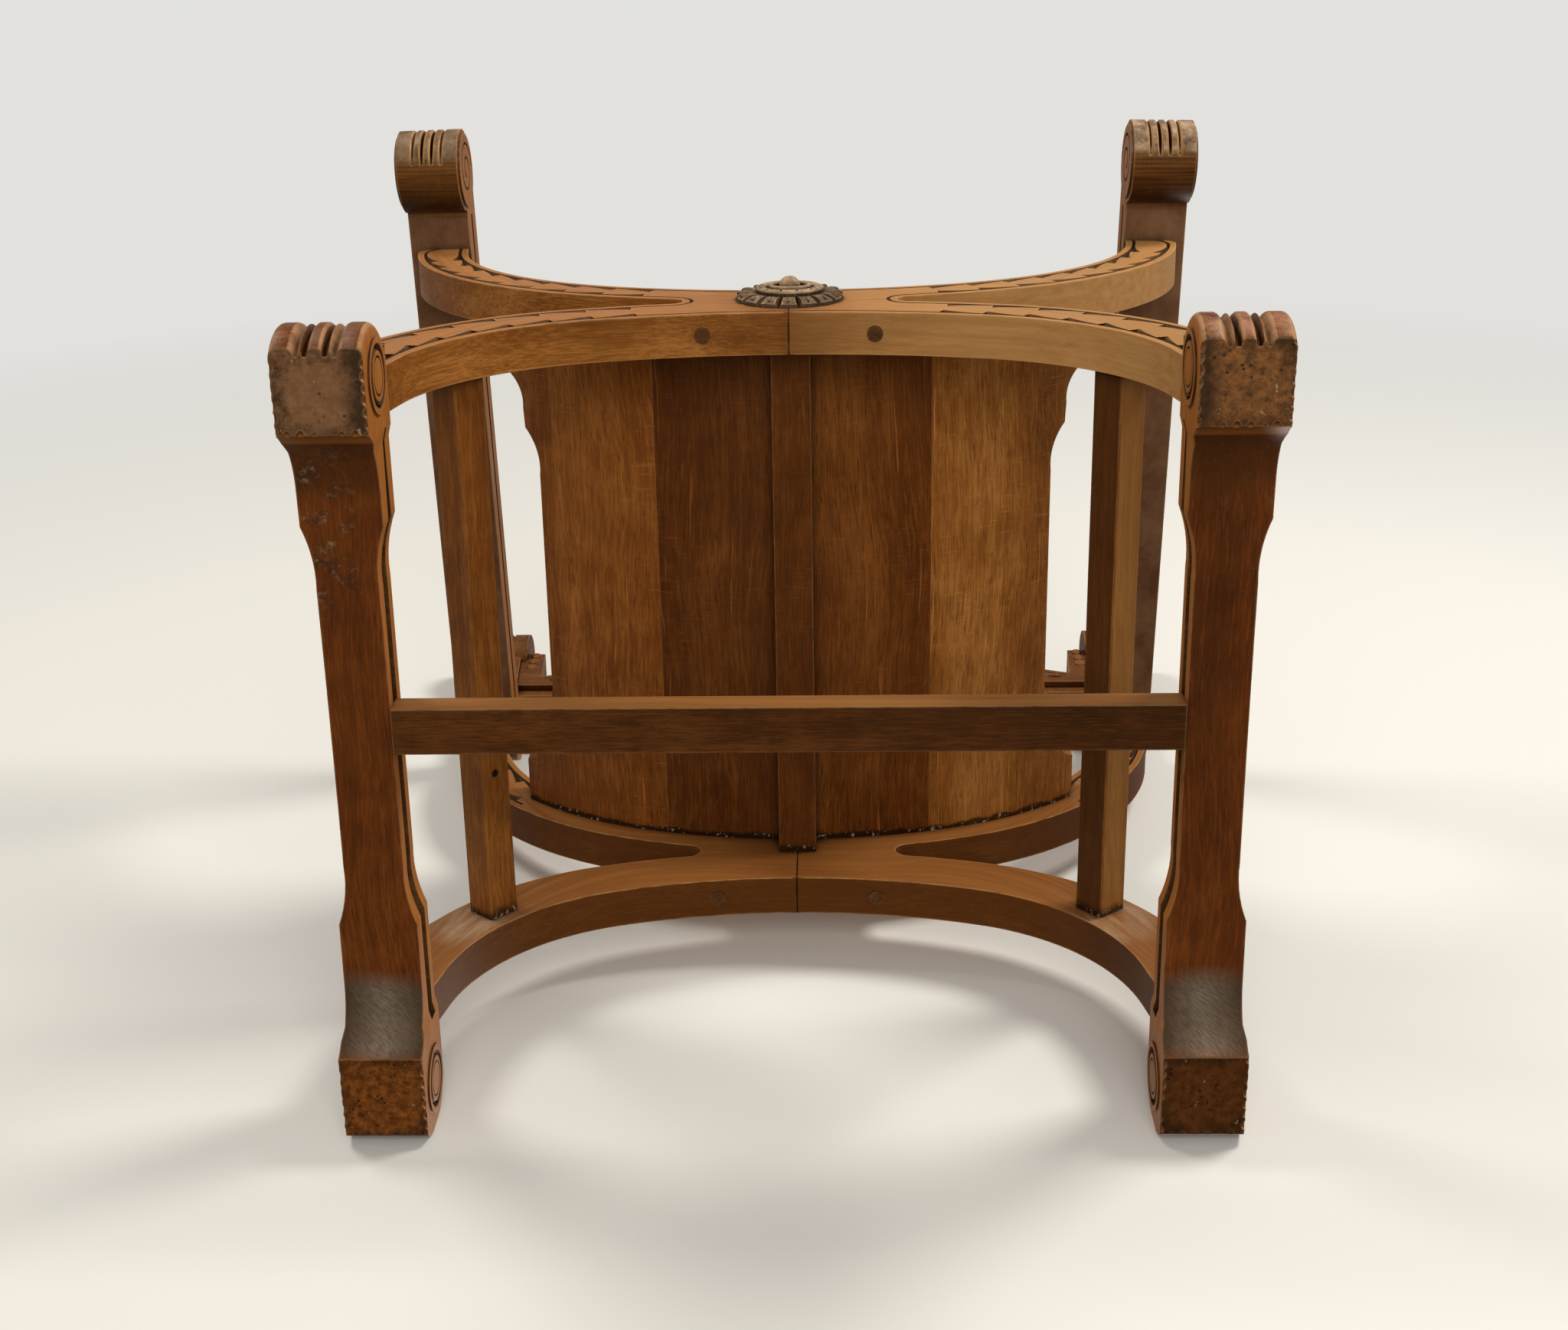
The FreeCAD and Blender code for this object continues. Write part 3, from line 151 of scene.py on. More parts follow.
class Wood(Nodes):
    """Old waxed walnut: figure, streaks and pores run along one direction of the chair. Worn
    arrises show pale, and closed-in corners are darkened, partly as dark wax and partly as painted
    shade. The palette is dark, middle and light. age adds a part's own marks, on some parts with
    painted light and shade, and follow gives the place that the grain follows."""

    def __init__(
        self, name, palette, along, seed,
        rough=0.44, dirt=0.75, wear=0.6, pores=0.5, age=None, follow=None,
    ):
        self.material = bpy.data.materials.new(name)
        super().__init__(self.material)
        self.dark, self.middle, self.light = (colour(*shade) for shade in palette)
        self.place = self.add("TexCoord").outputs["Object"]
        facing = self.add("TexCoord").outputs["Normal"]
        self.x, self.y, self.z = self.add("SeparateXYZ", {0: self.place}).outputs
        self.nx, self.ny, self.nz = self.add("SeparateXYZ", {0: facing}).outputs
        turn = Vector(along).rotation_difference(Vector(ALONG_Z)).to_euler()
        shift = (seed, 0.7 * seed, 0.3 * seed)
        source = follow(self) if follow else self.place
        self.base = self.mapped(source, Location=shift, Rotation=turn)
        sway = self.add("CombineXYZ", {0: self.times(self.noise(self.base, 3.0, 2.0), 0.05)})
        self.bent = self.add("VectorMath", {0: self.base, 1: sway.outputs[0]}).outputs[0]
        self.blotch = self.noise(self.base, 7.0, 4.0, 0.6)
        self.chatter = self.noise(self.base, 60.0, 3.0)
        self.edge_find()
        self.grain(pores)
        self.relief_extra = 0.0
        self.matt = 0.0
        if age:
            age(self)
        self.arrises(dirt, wear)
        self.finish(rough)

    def mottled(self, scale):
        return self.spread(self.noise(self.base, scale, 5.0, 0.7), 0.35, 0.65)

    def stretched(self, across, run):
        return self.mapped(self.bent, Scale=(across, across, run))

    def frayed(self, value, noise, reach):
        """A value whose steps are frayed by a noise."""
        return self.plus(value, self.times(self.minus(noise, 0.5), reach))

    def square_to(self, normal):
        """1 on faces that lie square to one direction."""
        return self.spread(self.size(normal), 0.6, 0.9)

    def lay(self, factor, shade):
        """Lays another shade over the wood."""
        self.shade = self.mix(factor, self.shade, shade)

    def grain(self, pores):
        figure = self.noise(self.stretched(12, 1.6), 1.0, 4.0, 0.55, 0.3)
        self.streaks = self.noise(self.stretched(150, 6), 1.0, 5.0, 0.7)
        fine = self.noise(self.stretched(650, 40), 1.0, 3.0, 0.65)
        self.flecks = self.noise(self.stretched(1100, 70), 1.0, 2.0, 0.5)
        mottle = self.noise(self.base, 26.0, 5.0, 0.65)
        tone = self.plus(self.times(figure, 0.42), self.times(self.streaks, 0.30))
        tone = self.plus(tone, self.times(mottle, 0.28))
        self.shade = self.ramp(tone, [(0.38, self.dark), (0.5, self.middle), (0.62, self.light)])
        self.lay(self.spread(fine, 0.45, 0.62, 0.0, 0.5), self.dark)
        self.lay(self.spread(fine, 0.46, 0.36, 0.0, 0.35), self.light)
        self.lay(self.spread(self.flecks, 0.60, 0.70, 0.0, pores), scaled(self.dark, 0.3))
        self.lay(self.spread(self.blotch, 0.35, 0.7, 0.0, 0.3), self.middle)

    def edge_find(self):
        """Convex arrises, found where a rounded normal leaves the true one, and how closed in
        each point is."""
        true = self.add("NewGeometry").outputs["Normal"]
        rounded = self.add("Bevel", {"Radius": 2.0 * MM}, samples=4).outputs[0]
        alike = self.add("VectorMath", {0: true, 1: rounded}, operation="DOT_PRODUCT").outputs["Value"]
        self.open = self.add("AmbientOcclusion", {"Distance": 13 * MM}, samples=4).outputs["AO"]
        arris = self.times(self.spread(alike, 0.985, 0.82), self.spread(self.open, 0.70, 0.95))
        self.arris = self.times(arris, self.spread(self.chatter, 0.33, 0.58, 0.25, 1.0))

    def corners(self, normal):
        """Wear on the narrow slopes between faces that lie square to one direction."""
        slope = self.band(self.size(normal), 0.4, 0.84, 0.06)
        slope = self.times(slope, self.spread(self.chatter, 0.33, 0.55, 0.3, 1.0))
        self.arris = self.larger(self.arris, slope)

    def arrises(self, dirt, wear):
        pale = [bare + 1.3 * c for bare, c in zip((0.16, 0.14, 0.08), self.light)]
        self.lay(self.times(self.arris, wear), (*pale, 1.0))
        # Painted shade: corners that the ambient occlusion finds closed in are darkened, partly as dark
        # wax
        self.lay(self.spread(self.open, 0.80, 0.30, 0.0, dirt), scaled(self.dark, 0.16))

    def finish(self, rough):
        """A low, warm sheen that is duller on tops, and a shallow relief."""
        dusty = self.plus(self.matt, self.spread(self.nz, 0.5, 0.9, 0.0, 0.16))
        sheen = self.plus(self.spread(self.blotch, 0.3, 0.7, rough - 0.08, rough + 0.14), dusty)
        relief = self.plus(self.times(self.streaks, 0.6), self.times(self.flecks, -0.6))
        relief = self.plus(self.plus(relief, self.times(self.blotch, 0.8)), self.relief_extra)
        soft = self.add("Bevel", {"Radius": 0.9 * MM}, samples=4).outputs[0]
        bumps = {"Height": relief, "Normal": soft, "Strength": 0.35, "Distance": 0.7 * MM}
        surface = {"Base Color": self.shade, "Roughness": sheen, "Specular IOR Level": 0.14}
        surface["Specular Tint"] = (1.0, 0.72, 0.42, 1.0)
        surface["Normal"] = self.add("Bump", bumps).outputs[0]
        self.wire(self.shader, surface)


# How single parts have aged, and where light and shade are painted on some of them. Places here
# are in metres. The grain of the frames bends one way below their crossing and the other way above it.

PALE_PATCH = (-0.304, -0.229, 0)
REAR_COVE, FRONT_COVE, FRONT_LIP = (0.226, 0.266), (-0.199, -0.160), (-0.2025, -0.196)
ARCH_GRAIN, BOW_GRAIN, CROSSING = 29.3, -26.3, 0.297
SMEAR = (0.262, 0, 0.185)
NAIL_HOLE = (-0.2391, 0.1225, 0.1996)


def runner_sides(w, across, right):
    """Flanks painted golden, as lit from the sides, and a chafed toe."""
    # Painted light: the side faces of the runner are laid golden, as lit from the sides
    flank = w.times(w.square_to(w.nx), w.spread(w.size(across), 0.58, 0.66))
    w.lay(w.times(flank, 0.85), w.mix(w.streaks, (122, 66, 24), (188, 122, 58)))
    toe = w.times(w.spread(w.y, -0.260, -0.264), w.minus(1.0, flank))
    chafed = w.mix(right, (100, 68, 44), (148, 104, 76))
    w.lay(w.times(toe, w.mottled(60.0), 0.85), chafed)


def runner_pads(w, across, right, low):
    """Ground-down pads with a broken damp rim and worm holes. Gives the depth of their pits."""
    front, rear = PADS[0][0], PADS[1][0]
    from_middle = w.size(w.minus(w.y, (front + rear) / 2 * MM))
    along = w.maths("DIVIDE", w.minus(from_middle, (rear - front) / 2 * MM), RUNNER_HALF * MM)
    reach = w.larger(w.size(across), w.size(along))
    rim = w.spread(w.plus(reach, w.times(w.noise(w.base, 30.0, 6.0, 0.75), 1.7)), 1.6, 1.95)
    crust = w.noise(w.base, 130.0, 6.0, 0.8)
    back = w.spread(w.y, -0.05, 0.05)
    front_bare = w.mix(right, (124, 88, 60), (136, 88, 48))
    bare = w.mix(back, front_bare, w.mix(right, (174, 102, 42), (118, 70, 30)))
    crusted = w.mix(back, (68, 45, 27), (78, 41, 14))
    pad = w.mix(w.spread(crust, 0.38, 0.66), crusted, bare)
    patch = w.times(w.spread(w.distance(w.place, PALE_PATCH), 0.024, 0.020), 0.45)
    pad = w.mix(patch, pad, (126, 88, 60))
    inner = w.spread(w.plus(across, w.times(w.noise(w.base, 45.0, 4.0), 0.8)), -0.05, -0.45)
    stain = w.larger(rim, w.times(inner, w.minus(1.0, back)))
    pad = w.mix(w.times(stain, 0.85), pad, (38, 27, 17))
    bores = w.add("TexVoronoi", {"Vector": w.base, "Scale": 190.0}).outputs["Distance"]
    wormy = w.spread(w.noise(w.base, 55.0, 2.0), 0.46, 0.60)
    bored = w.times(w.spread(bores, 0.28, 0.12), wormy, 0.85)
    pad = w.mix(bored, pad, (16, 9, 4))
    chips = w.spread(w.noise(w.base, 120.0, 2.0), 0.68, 0.72, 0.0, 0.7)
    w.lay(low, w.mix(chips, pad, (160, 132, 100)))
    return w.minus(w.times(crust, 3.0), w.times(bored, 3.0))


def scraped_cove_with_sheen(w, across, cove):
    """A grey cove with slanting scrapes, painted paler along its middle as a sheen. Gives the depth of
    the scrapes.
    """
    turned = w.mapped(w.place, Rotation=(0, 0, 0.9))
    scrape = w.noise(w.mapped(turned, Scale=(1500, 160, 160)), 1.0, 3.0)
    # Painted sheen: the grey is laid paler along the middle of the cove
    grey = w.mix(w.spread(w.size(across), 0.9, 0.1), (66, 54, 42), (112, 100, 86))
    grey = w.mix(w.spread(scrape, 0.42, 0.60, 0.0, 0.55), grey, (48, 38, 28))
    w.lay(w.times(cove, 0.9), grey)
    return w.times(cove, scrape)


def aged_and_lit_runner(w):
    """Flanks painted golden as lit from the sides, worn pads, a grey cove at the back painted paler
    along its middle as a sheen, a dark one with a pale lip at the front, scuffs behind it on the
    left runner, and a painted contact shadow under the heel."""
    w.corners(w.nx)
    across = w.maths("DIVIDE", w.minus(w.size(w.x), RUNNER_X * MM), RUNNER_HALF * MM)
    right = w.spread(w.x, -0.01, 0.01)
    down = w.spread(w.nz, -0.2, -0.6)
    low = w.spread(w.z, 1.6 * MM, 0.5 * MM)
    runner_sides(w, across, right)
    pits = runner_pads(w, across, right, low)
    ragged = w.frayed(w.y, w.blotch, 0.03)
    rear_cove = w.times(w.band(ragged, *REAR_COVE, 0.016), down, w.spread(w.z, 0.6 * MM, 1.5 * MM))
    scrapes = scraped_cove_with_sheen(w, across, rear_cove)
    w.lay(w.times(w.band(ragged, *FRONT_COVE, 0.014), down, 0.6), (56, 30, 9))
    lip = w.times(w.band(w.y, *FRONT_LIP, 0.0025), down, w.spread(w.z, 0.8 * MM, 1.6 * MM))
    w.lay(w.times(lip, 0.6), (140, 84, 30))
    scuff = w.times(w.band(w.y, -0.17, -0.09, 0.03), down, w.spread(right, 0.0, 1.0, 1.0, 0.15))
    broken = w.spread(w.noise(w.base, 60.0, 7.0, 0.8), 0.50, 0.58)
    scuff = w.times(scuff, w.spread(across, -0.5, 0.3), broken)
    flecks = w.spread(w.noise(w.base, 210.0), 0.5, 0.66)
    w.lay(w.times(scuff, 0.7), w.mix(flecks, (46, 31, 19), (124, 102, 78)))
    # Painted contact shadow: the heel's underside, where it meets the backdrop sheet, is laid near black
    heel = w.times(w.spread(w.y, 0.3305, 0.3325), w.spread(w.nz, -0.1, -0.4))
    w.lay(w.times(heel, 0.9), (26, 15, 7))
    w.matt = w.times(w.larger(w.larger(low, heel), rear_cove), 0.3)
    w.relief_extra = w.plus(w.times(low, pits), scrapes)


def along_frame(w):
    """Grain that follows the crossed bands: down along the arch and up along the bow."""
    fourth = w.maths("POWER", w.size(w.x), 4.0)
    ways = w.spread(w.z, CROSSING - 0.1 * MM, CROSSING + 0.1 * MM, ARCH_GRAIN, BOW_GRAIN)
    height = w.plus(w.z, w.times(ways, fourth))
    return w.add("CombineXYZ", {0: w.x, 1: w.y, 2: height}).outputs[0]


def aged_and_lit_frame(w):
    """The carved faces are rubbed paler than the sawn edges. The front frame's right half is painted
    paler still, as lit from the right, the back frame is painted darker, as in shade, with a pale
    smear near its feet, and the seam is a dark crack."""
    w.corners(w.ny)
    near = w.size(w.x)
    face = w.square_to(w.ny)
    edges = w.minus(1.0, face)
    rear = w.spread(w.y, 0.1, 0.2)
    # Painted light: the front frame's right half is laid paler, more so towards its outer end, as lit
    # from the right
    right = w.times(w.spread(w.x, -0.5 * MM, 0.5 * MM), w.spread(w.x, 0.01, 0.15, 0.4, 1.0))
    right = w.times(right, w.spread(w.y, 0.1, 0.0))
    pale = w.mix(w.streaks, (138, 94, 48), (194, 150, 96))
    w.lay(w.times(right, edges, 0.75), pale)
    brown = w.mix(w.streaks, (118, 73, 36), (170, 118, 70))
    w.lay(w.times(face, 0.6), w.mix(right, brown, pale))
    # Painted shade: the back frame's edges and faces are laid darker, as in shade
    w.lay(w.times(rear, edges, 0.8), (74, 38, 11))
    w.lay(w.times(rear, face, 0.6), w.mix(w.streaks, (88, 46, 14), (136, 84, 36)))
    mirrored = w.add("CombineXYZ", {0: near, 2: w.z}).outputs[0]
    smear = w.times(w.spread(w.distance(mirrored, SMEAR), 0.045, 0.025), rear, face)
    w.lay(w.times(smear, w.mottled(45.0), 0.5), (170, 148, 122))
    w.arris = w.times(w.arris, w.spread(near, 2.5 * MM, 5 * MM))
    by_seam = w.spread(w.plus(near, w.times(w.blotch, 0.05)), 0.09, 0.03)
    w.lay(w.times(by_seam, 0.5), w.dark)
    seam = w.spread(w.frayed(near, w.chatter, 1.6 * MM), 0.9 * MM, 0.3 * MM)
    w.lay(seam, (20, 10, 5))


def aged_seat(w):
    """Pale flecks of figure and fine scratches run across the boards, and dark glue with
    pale lumps lines their ends."""
    across = w.mapped(w.place, Scale=(45, 600, 45))
    scratch = w.spread(w.noise(across, 1.0, 4.0), 0.58, 0.68, 0.0, 0.35)
    flecked = w.spread(w.noise(w.base, 9.0, 2.0), 0.42, 0.6)
    w.lay(w.times(scratch, flecked), scaled(w.light, 1.35))
    rubs = w.spread(w.noise(w.stretched(380, 9), 1.0, 3.0), 0.66, 0.70, 0.0, 0.5)
    w.lay(rubs, scaled(w.light, 1.6))
    under = w.spread(w.nz, -0.2, -0.6)
    ends = w.plus(w.spread(w.y, -0.192, -0.1995), w.spread(w.y, 0.239, 0.2475))
    ragged = w.frayed(ends, w.chatter, 1.2)
    w.lay(w.times(w.spread(ragged, 0.45, 0.75, 0.0, 0.85), under), (18, 11, 7))
    lumps = w.spread(w.noise(w.base, 240.0, 2.0), 0.60, 0.66, 0.0, 0.8)
    w.lay(w.times(lumps, w.spread(ragged, 0.5, 0.9), under), (176, 160, 138))


def aged_and_lit_rail(w):
    """One nail hole on the left rail; on the right one, an inner side painted dark, partly stain and
    partly shade, and an outer side painted pale as lit from the right; and dark glue at both ends."""
    right = w.spread(w.x, -0.01, 0.01)
    inner, outer = w.spread(w.nx, -0.3, -0.5), w.spread(w.nx, 0.3, 0.5)
    # Painted shade and light on the right rail: its inner side is laid dark, partly stain and partly
    # shade, and its outer side pale, as lit from the right
    w.lay(w.times(right, inner, 0.75), w.mix(w.streaks, (40, 19, 5), (72, 38, 13)))
    w.lay(w.times(right, outer, 0.6), w.mix(w.streaks, (108, 64, 24), (176, 126, 66)))
    w.lay(w.spread(w.distance(w.place, NAIL_HOLE), 4.2 * MM, 2.6 * MM), (12, 7, 4))
    ends = w.plus(w.spread(w.y, -0.190, -0.1995), w.spread(w.y, 0.232, 0.2475))
    ragged = w.frayed(ends, w.chatter, 0.8)
    w.lay(w.spread(ragged, 0.5, 0.9, 0.0, 0.8), (24, 14, 8))
    lumps = w.spread(w.noise(w.base, 260.0, 2.0), 0.54, 0.62, 0.0, 0.7)
    w.lay(w.times(lumps, w.spread(w.y, 0.2425, 0.2455)), (150, 138, 120))


def lit_stretcher(w):
    """The forward faces are painted pale, as lit from the front."""
    w.lay(w.times(w.spread(w.ny, -0.6, -0.9), 0.75), w.mix(w.streaks, (92, 56, 24), (156, 106, 58)))


def aged_and_lit_arm(w):
    """The flutes of the roll are grey with wear, and painted paler on the right arm as lit from the
    right. The plain wood below them is brown with level streaks and has painted shade on faces that
    look back towards the chair, and the flanks are golden."""
    w.corners(w.nx)
    roll = w.spread(w.y, -0.258, -0.268)
    fluted = w.times(w.spread(w.ny, -0.26, -0.40), roll)
    level = w.spread(w.noise(w.mapped(w.place, Scale=(9, 420, 420)), 1.0, 4.0), 0.4, 0.62)
    plain = w.mix(level, (112, 68, 26), (48, 24, 8))
    # Painted shade: faces that look back towards the chair are laid near black
    plain = w.mix(w.spread(w.ny, 0.0, 0.75), plain, (34, 16, 5))
    below = w.mix(w.mottled(18.0), (88, 56, 38), (122, 92, 68))
    w.lay(w.times(w.spread(w.nz, -0.1, -0.5), 0.8), w.mix(roll, below, plain))
    # Painted light: the flutes of the right arm are laid paler than the left arm's, as lit from the right
    left = w.spread(w.x, 0.1, -0.1)
    rubbed = w.mix(left, (160, 134, 107), (122, 99, 76))
    w.lay(w.times(fluted, 0.9), w.mix(w.mottled(70.0), (66, 49, 35), rubbed))
    w.lay(w.times(w.square_to(w.nx), 0.7), w.mix(w.streaks, (112, 62, 22), (170, 110, 52)))


def aged_back(w):
    """The ground between the carving on the crest is darker than the carving."""
    crest = w.times(w.spread(w.z, 0.750, 0.754), w.spread(w.ny, -0.2, -0.5))
    w.lay(w.times(w.spread(w.y, 0.2512, 0.2518), crest, 0.35), scaled(w.dark, 0.8))
    w.lay(w.times(w.spread(w.y, 0.2510, 0.2490), crest, 0.3), w.light)


def aged_and_lit_boss(w):
    """The turned beads are laid paler than the petals, partly rubbed and partly a painted highlight."""
    proud = w.times(w.spread(w.y, -0.2402, -0.2418), w.mottled(80.0))
    # Painted highlight, with wear: the proud beads are laid paler
    w.lay(w.times(proud, 0.7), (188, 156, 122))


def placed(name, data):
    """A new object in the scene."""
    item = bpy.data.objects.new(name, data)
    bpy.context.scene.collection.objects.link(item)
    return item


def paint(item, material):
    """Gives a whole object one material."""
    item.data.materials.clear()
    item.data.materials.append(material)


def wood(*looks, **marks):
    return Wood(*looks, **marks).material


# The dark, middle and light shade of each wood, in sRGB values

RUNNER = ((56, 25, 6), (84, 40, 10), (112, 58, 19))
FRAME = ((84, 45, 13), (122, 72, 26), (160, 104, 48))
RAIL = ((80, 42, 12), (110, 62, 20), (142, 88, 34))
RIB = ((56, 27, 6), (82, 41, 10), (110, 60, 20))
STRETCHER = ((42, 20, 6), (64, 33, 10), (90, 50, 18))
ARM = ((60, 30, 9), (94, 54, 21), (136, 88, 42))
BACK = ((62, 32, 10), (100, 58, 22), (142, 90, 42))
PEG = ((48, 27, 12), (74, 44, 22), (102, 65, 36))
WORN = ((48, 36, 24), (96, 76, 56), (150, 122, 96))
WAX_AND_SHADE = ((44, 26, 12), (72, 45, 22), (108, 72, 40))
SEAT = {
    "outer_left": ((84, 42, 12), (116, 64, 22), (146, 90, 38)),
    "inner_left": ((60, 29, 8), (84, 43, 13), (110, 63, 24)),
    "inner_right": ((64, 31, 8), (92, 47, 13), (120, 70, 26)),
    "outer_right": ((92, 49, 15), (128, 76, 28), (162, 108, 52)),
}

# Material of the cut lines: dark wax with painted shade in the grooves
waxed_cut = wood("waxed_cut", WAX_AND_SHADE, ALONG_X, 9.5, rough=0.6, wear=0.25, dirt=0.9)
peg_wood = wood("peg_wood", PEG, ALONG_Z, 8.0, wear=0.2)
back_wood = wood("back_wood", BACK, ALONG_X, 6.0, age=aged_back, wear=0.7, dirt=0.95)
frame_wood = wood(
    "frame_wood", FRAME, ALONG_X, 2.0, age=aged_and_lit_frame, wear=0.8, dirt=0.95, follow=along_frame
)

# The wood of each piece: the first word that is found in the piece's name counts

looks = {
    "pegs": peg_wood,
    "tongue": peg_wood,
    "dowels": peg_wood,
    "runner": wood("runner_wood", RUNNER, ALONG_Y, 1.0, age=aged_and_lit_runner, wear=0.7),
    "frame": frame_wood,
    "boss": wood("boss_wood", WORN, ALONG_Z, 9.0, age=aged_and_lit_boss, wear=0.8, dirt=1.0),
    "side_rail": wood("rail_wood", RAIL, ALONG_Y, 3.0, age=aged_and_lit_rail, wear=0.5),
    "rib": wood("rib_wood", RIB, ALONG_Y, 3.6, age=aged_seat),
    "stretcher": wood("stretcher_wood", STRETCHER, ALONG_X, 4.0, age=lit_stretcher),
    "arm": wood("arm_wood", ARM, ALONG_Y, 5.0, age=aged_and_lit_arm, wear=0.75, dirt=0.95),
    "post": wood("post_wood", BACK, ALONG_Z, 7.0, wear=0.7, dirt=0.95),
    "back": back_wood,
    "crest": back_wood,
}
for number, (board, palette) in enumerate(SEAT.items()):
    seed = 10.0 + 2.3 * number
    looks[board] = wood(f"seat_{board}", palette, ALONG_Y, seed, age=aged_seat, wear=0.2, pores=0.65)
for name, item in nodes.items():
    paint(item, next(look for word, look in looks.items() if word in name))


# Carving. Each carved piece is a copy of its solid with grooves cut into it and relief laid
# on it, and it stands for that solid. Lengths here are in millimetres.

# Edges that turn less than this are shaded smooth
SMOOTH_BELOW = radians(32)
FORWARD = Vector((0, -1, 0))
WIDE, DEEP, HIGH = Vector(ALONG_X), Vector(ALONG_Y), Vector(ALONG_Z)
ON_FRONT = (WIDE, HIGH, FORWARD)


def shares(steps):
    """Even steps from 0 to 1."""
    return [i / steps for i in range(steps + 1)]


def arc_points(first, middle, last, count):
    """Points of the circle through three points of a plane, from the first to the last."""
    (ax, ay), (bx, by), (cx, cy) = first, middle, last
    cross = 2 * (ax * (by - cy) + bx * (cy - ay) + cx * (ay - by))
    squares = [p[0] ** 2 + p[1] ** 2 for p in (first, middle, last)]
    ux = (squares[0] * (by - cy) + squares[1] * (cy - ay) + squares[2] * (ay - by)) / cross
    uy = (squares[0] * (cx - bx) + squares[1] * (ax - cx) + squares[2] * (bx - ax)) / cross
    radius = dist((ux, uy), first)
    start = atan2(ay - uy, ax - ux)
    half = (atan2(by - uy, bx - ux) - start + pi) % tau - pi
    end = start + half
    end += (atan2(cy - uy, cx - ux) - end + pi) % tau - pi
    steps = [start + (end - start) * i / (count - 1) for i in range(count)]
    return [(ux + radius * cos(a), uy + radius * sin(a)) for a in steps]


def bezier(p0, p1, p2, p3, count):
    """Points of a cubic curve in a plane."""
    points = []
    for t in shares(count - 1):
        u = 1 - t
        weights = (u**3, 3 * u * u * t, 3 * u * t * t, t**3)
        controls = list(zip(weights, (p0, p1, p2, p3)))
        points.append(tuple(sum(weight * p[k] for weight, p in controls) for k in (0, 1)))
    return points


@contextmanager
def edited(data):
    """A mesh opened for changes, which are written back to it at the end."""
    change = bmesh.new()
    change.from_mesh(data)
    yield change
    change.to_mesh(data)
    change.free()


class Shape:
    """A mesh put together in millimetres from sweeps and simple forms."""

    def __init__(self):
        self.points = []
        self.faces = []

    def add(self, points, faces):
        start = len(self.points)
        self.points += [Vector(p) for p in points]
        self.faces += [[start + i for i in face] for face in faces]

    def sweep(self, path, ups, profile, sizes=None):
        """Runs a closed profile along a path. The profile's points are (across, out)."""
        rings, count, sides = [], len(path), len(profile)
        for i, point in enumerate(path):
            run = (path[min(i + 1, count - 1)] - path[max(i - 1, 0)]).normalized()
            up = ups[i] if isinstance(ups, list) else ups
            across = run.cross(up).normalized()
            out = across.cross(run).normalized()
            wide, high = sizes[i] if sizes else (1, 1)
            rings += [point + across * (a * wide) + out * (b * high) for a, b in profile]
        faces = [list(range(sides))[::-1], [sides * (count - 1) + j for j in range(sides)]]
        for i in range(count - 1):
            for j in range(sides):
                k = (j + 1) % sides
                faces.append([i * sides + j, i * sides + k, (i + 1) * sides + k, (i + 1) * sides + j])
        self.add(rings, faces)

    def bead(self, centre, radii, axes, rings=6, sides=12):
        """A squashed ball: radii along three axes."""
        points = [Vector(centre) + axes[2] * radii[2]]
        for i in range(1, rings):
            high, low = cos(pi * i / rings), sin(pi * i / rings)
            for j in range(sides):
                a = tau * j / sides
                spot = axes[0] * (radii[0] * low * cos(a))
                spot += axes[1] * (radii[1] * low * sin(a))
                points.append(Vector(centre) + spot + axes[2] * (radii[2] * high))
        points.append(Vector(centre) - axes[2] * radii[2])
        last = len(points) - 1
        faces = []
        for j in range(sides):
            k = (j + 1) % sides
            faces.append([0, 1 + j, 1 + k])
            faces.append([last, last - sides + k, last - sides + j])
            for i in range(rings - 2):
                low, high = 1 + i * sides, 1 + (i + 1) * sides
                faces.append([low + j, high + j, high + k, low + k])
        self.add(points, faces)

    def moved(self, matrix):
        self.points = [matrix @ p for p in self.points]
        return self

    def mesh(self, name):
        data = bpy.data.meshes.new(name)
        data.from_pydata([p * MM for p in self.points], [], self.faces)
        with edited(data) as change:
            bmesh.ops.recalc_face_normals(change, faces=change.faces)
        return data


def circle(radius, angles):
    return [(radius * cos(a), radius * sin(a)) for a in angles]


def round_profile(radius, sides=8):
    return circle(radius, [tau * i / sides for i in range(sides)])


def vee(half_width, depth):
    """A cut with straight flanks that meet at its bottom."""
    return [(-half_width * 1.2, 0.2 * depth), (0, -depth), (half_width * 1.2, 0.2 * depth)]


def flute(half_width, depth):
    """A cut with rounded shoulders."""
    shoulder = ((0.25, -0.85), (0.5, -0.42), (0.8, -0.14), (1.15, -0.02), (1.5, 0.1))
    right = [(x * half_width, y * depth) for x, y in shoulder]
    return [(-a, b) for a, b in right[::-1]] + [(0, -depth)] + right


def rounding(radius, way):
    """What is left outside a rounded corner."""
    angles = [pi / 8 * i for i in range(5)]
    arc = [(radius * (sin(a) - 1), radius * (cos(a) - 1)) for a in angles]
    return [(way * x, y) for x, y in [*arc, (1, -radius), (1, 1), (-radius, 1)]]


def trough(half_width, depth):
    """A cut with a flat bottom and sloping flanks."""
    right = [(0.3 * half_width, -depth), (0.72 * half_width, -0.82 * depth)]
    right += [(half_width, 0), (half_width, 1)]
    return right + [(-a, b) for a, b in right[::-1]]


# A rounded stem that stands on a face, as (across, out) for a half width and a height of one
HALF_ROUND = [(-1, -0.4), (-0.75, 0.55), (0, 1), (0.75, 0.55), (1, -0.4)]


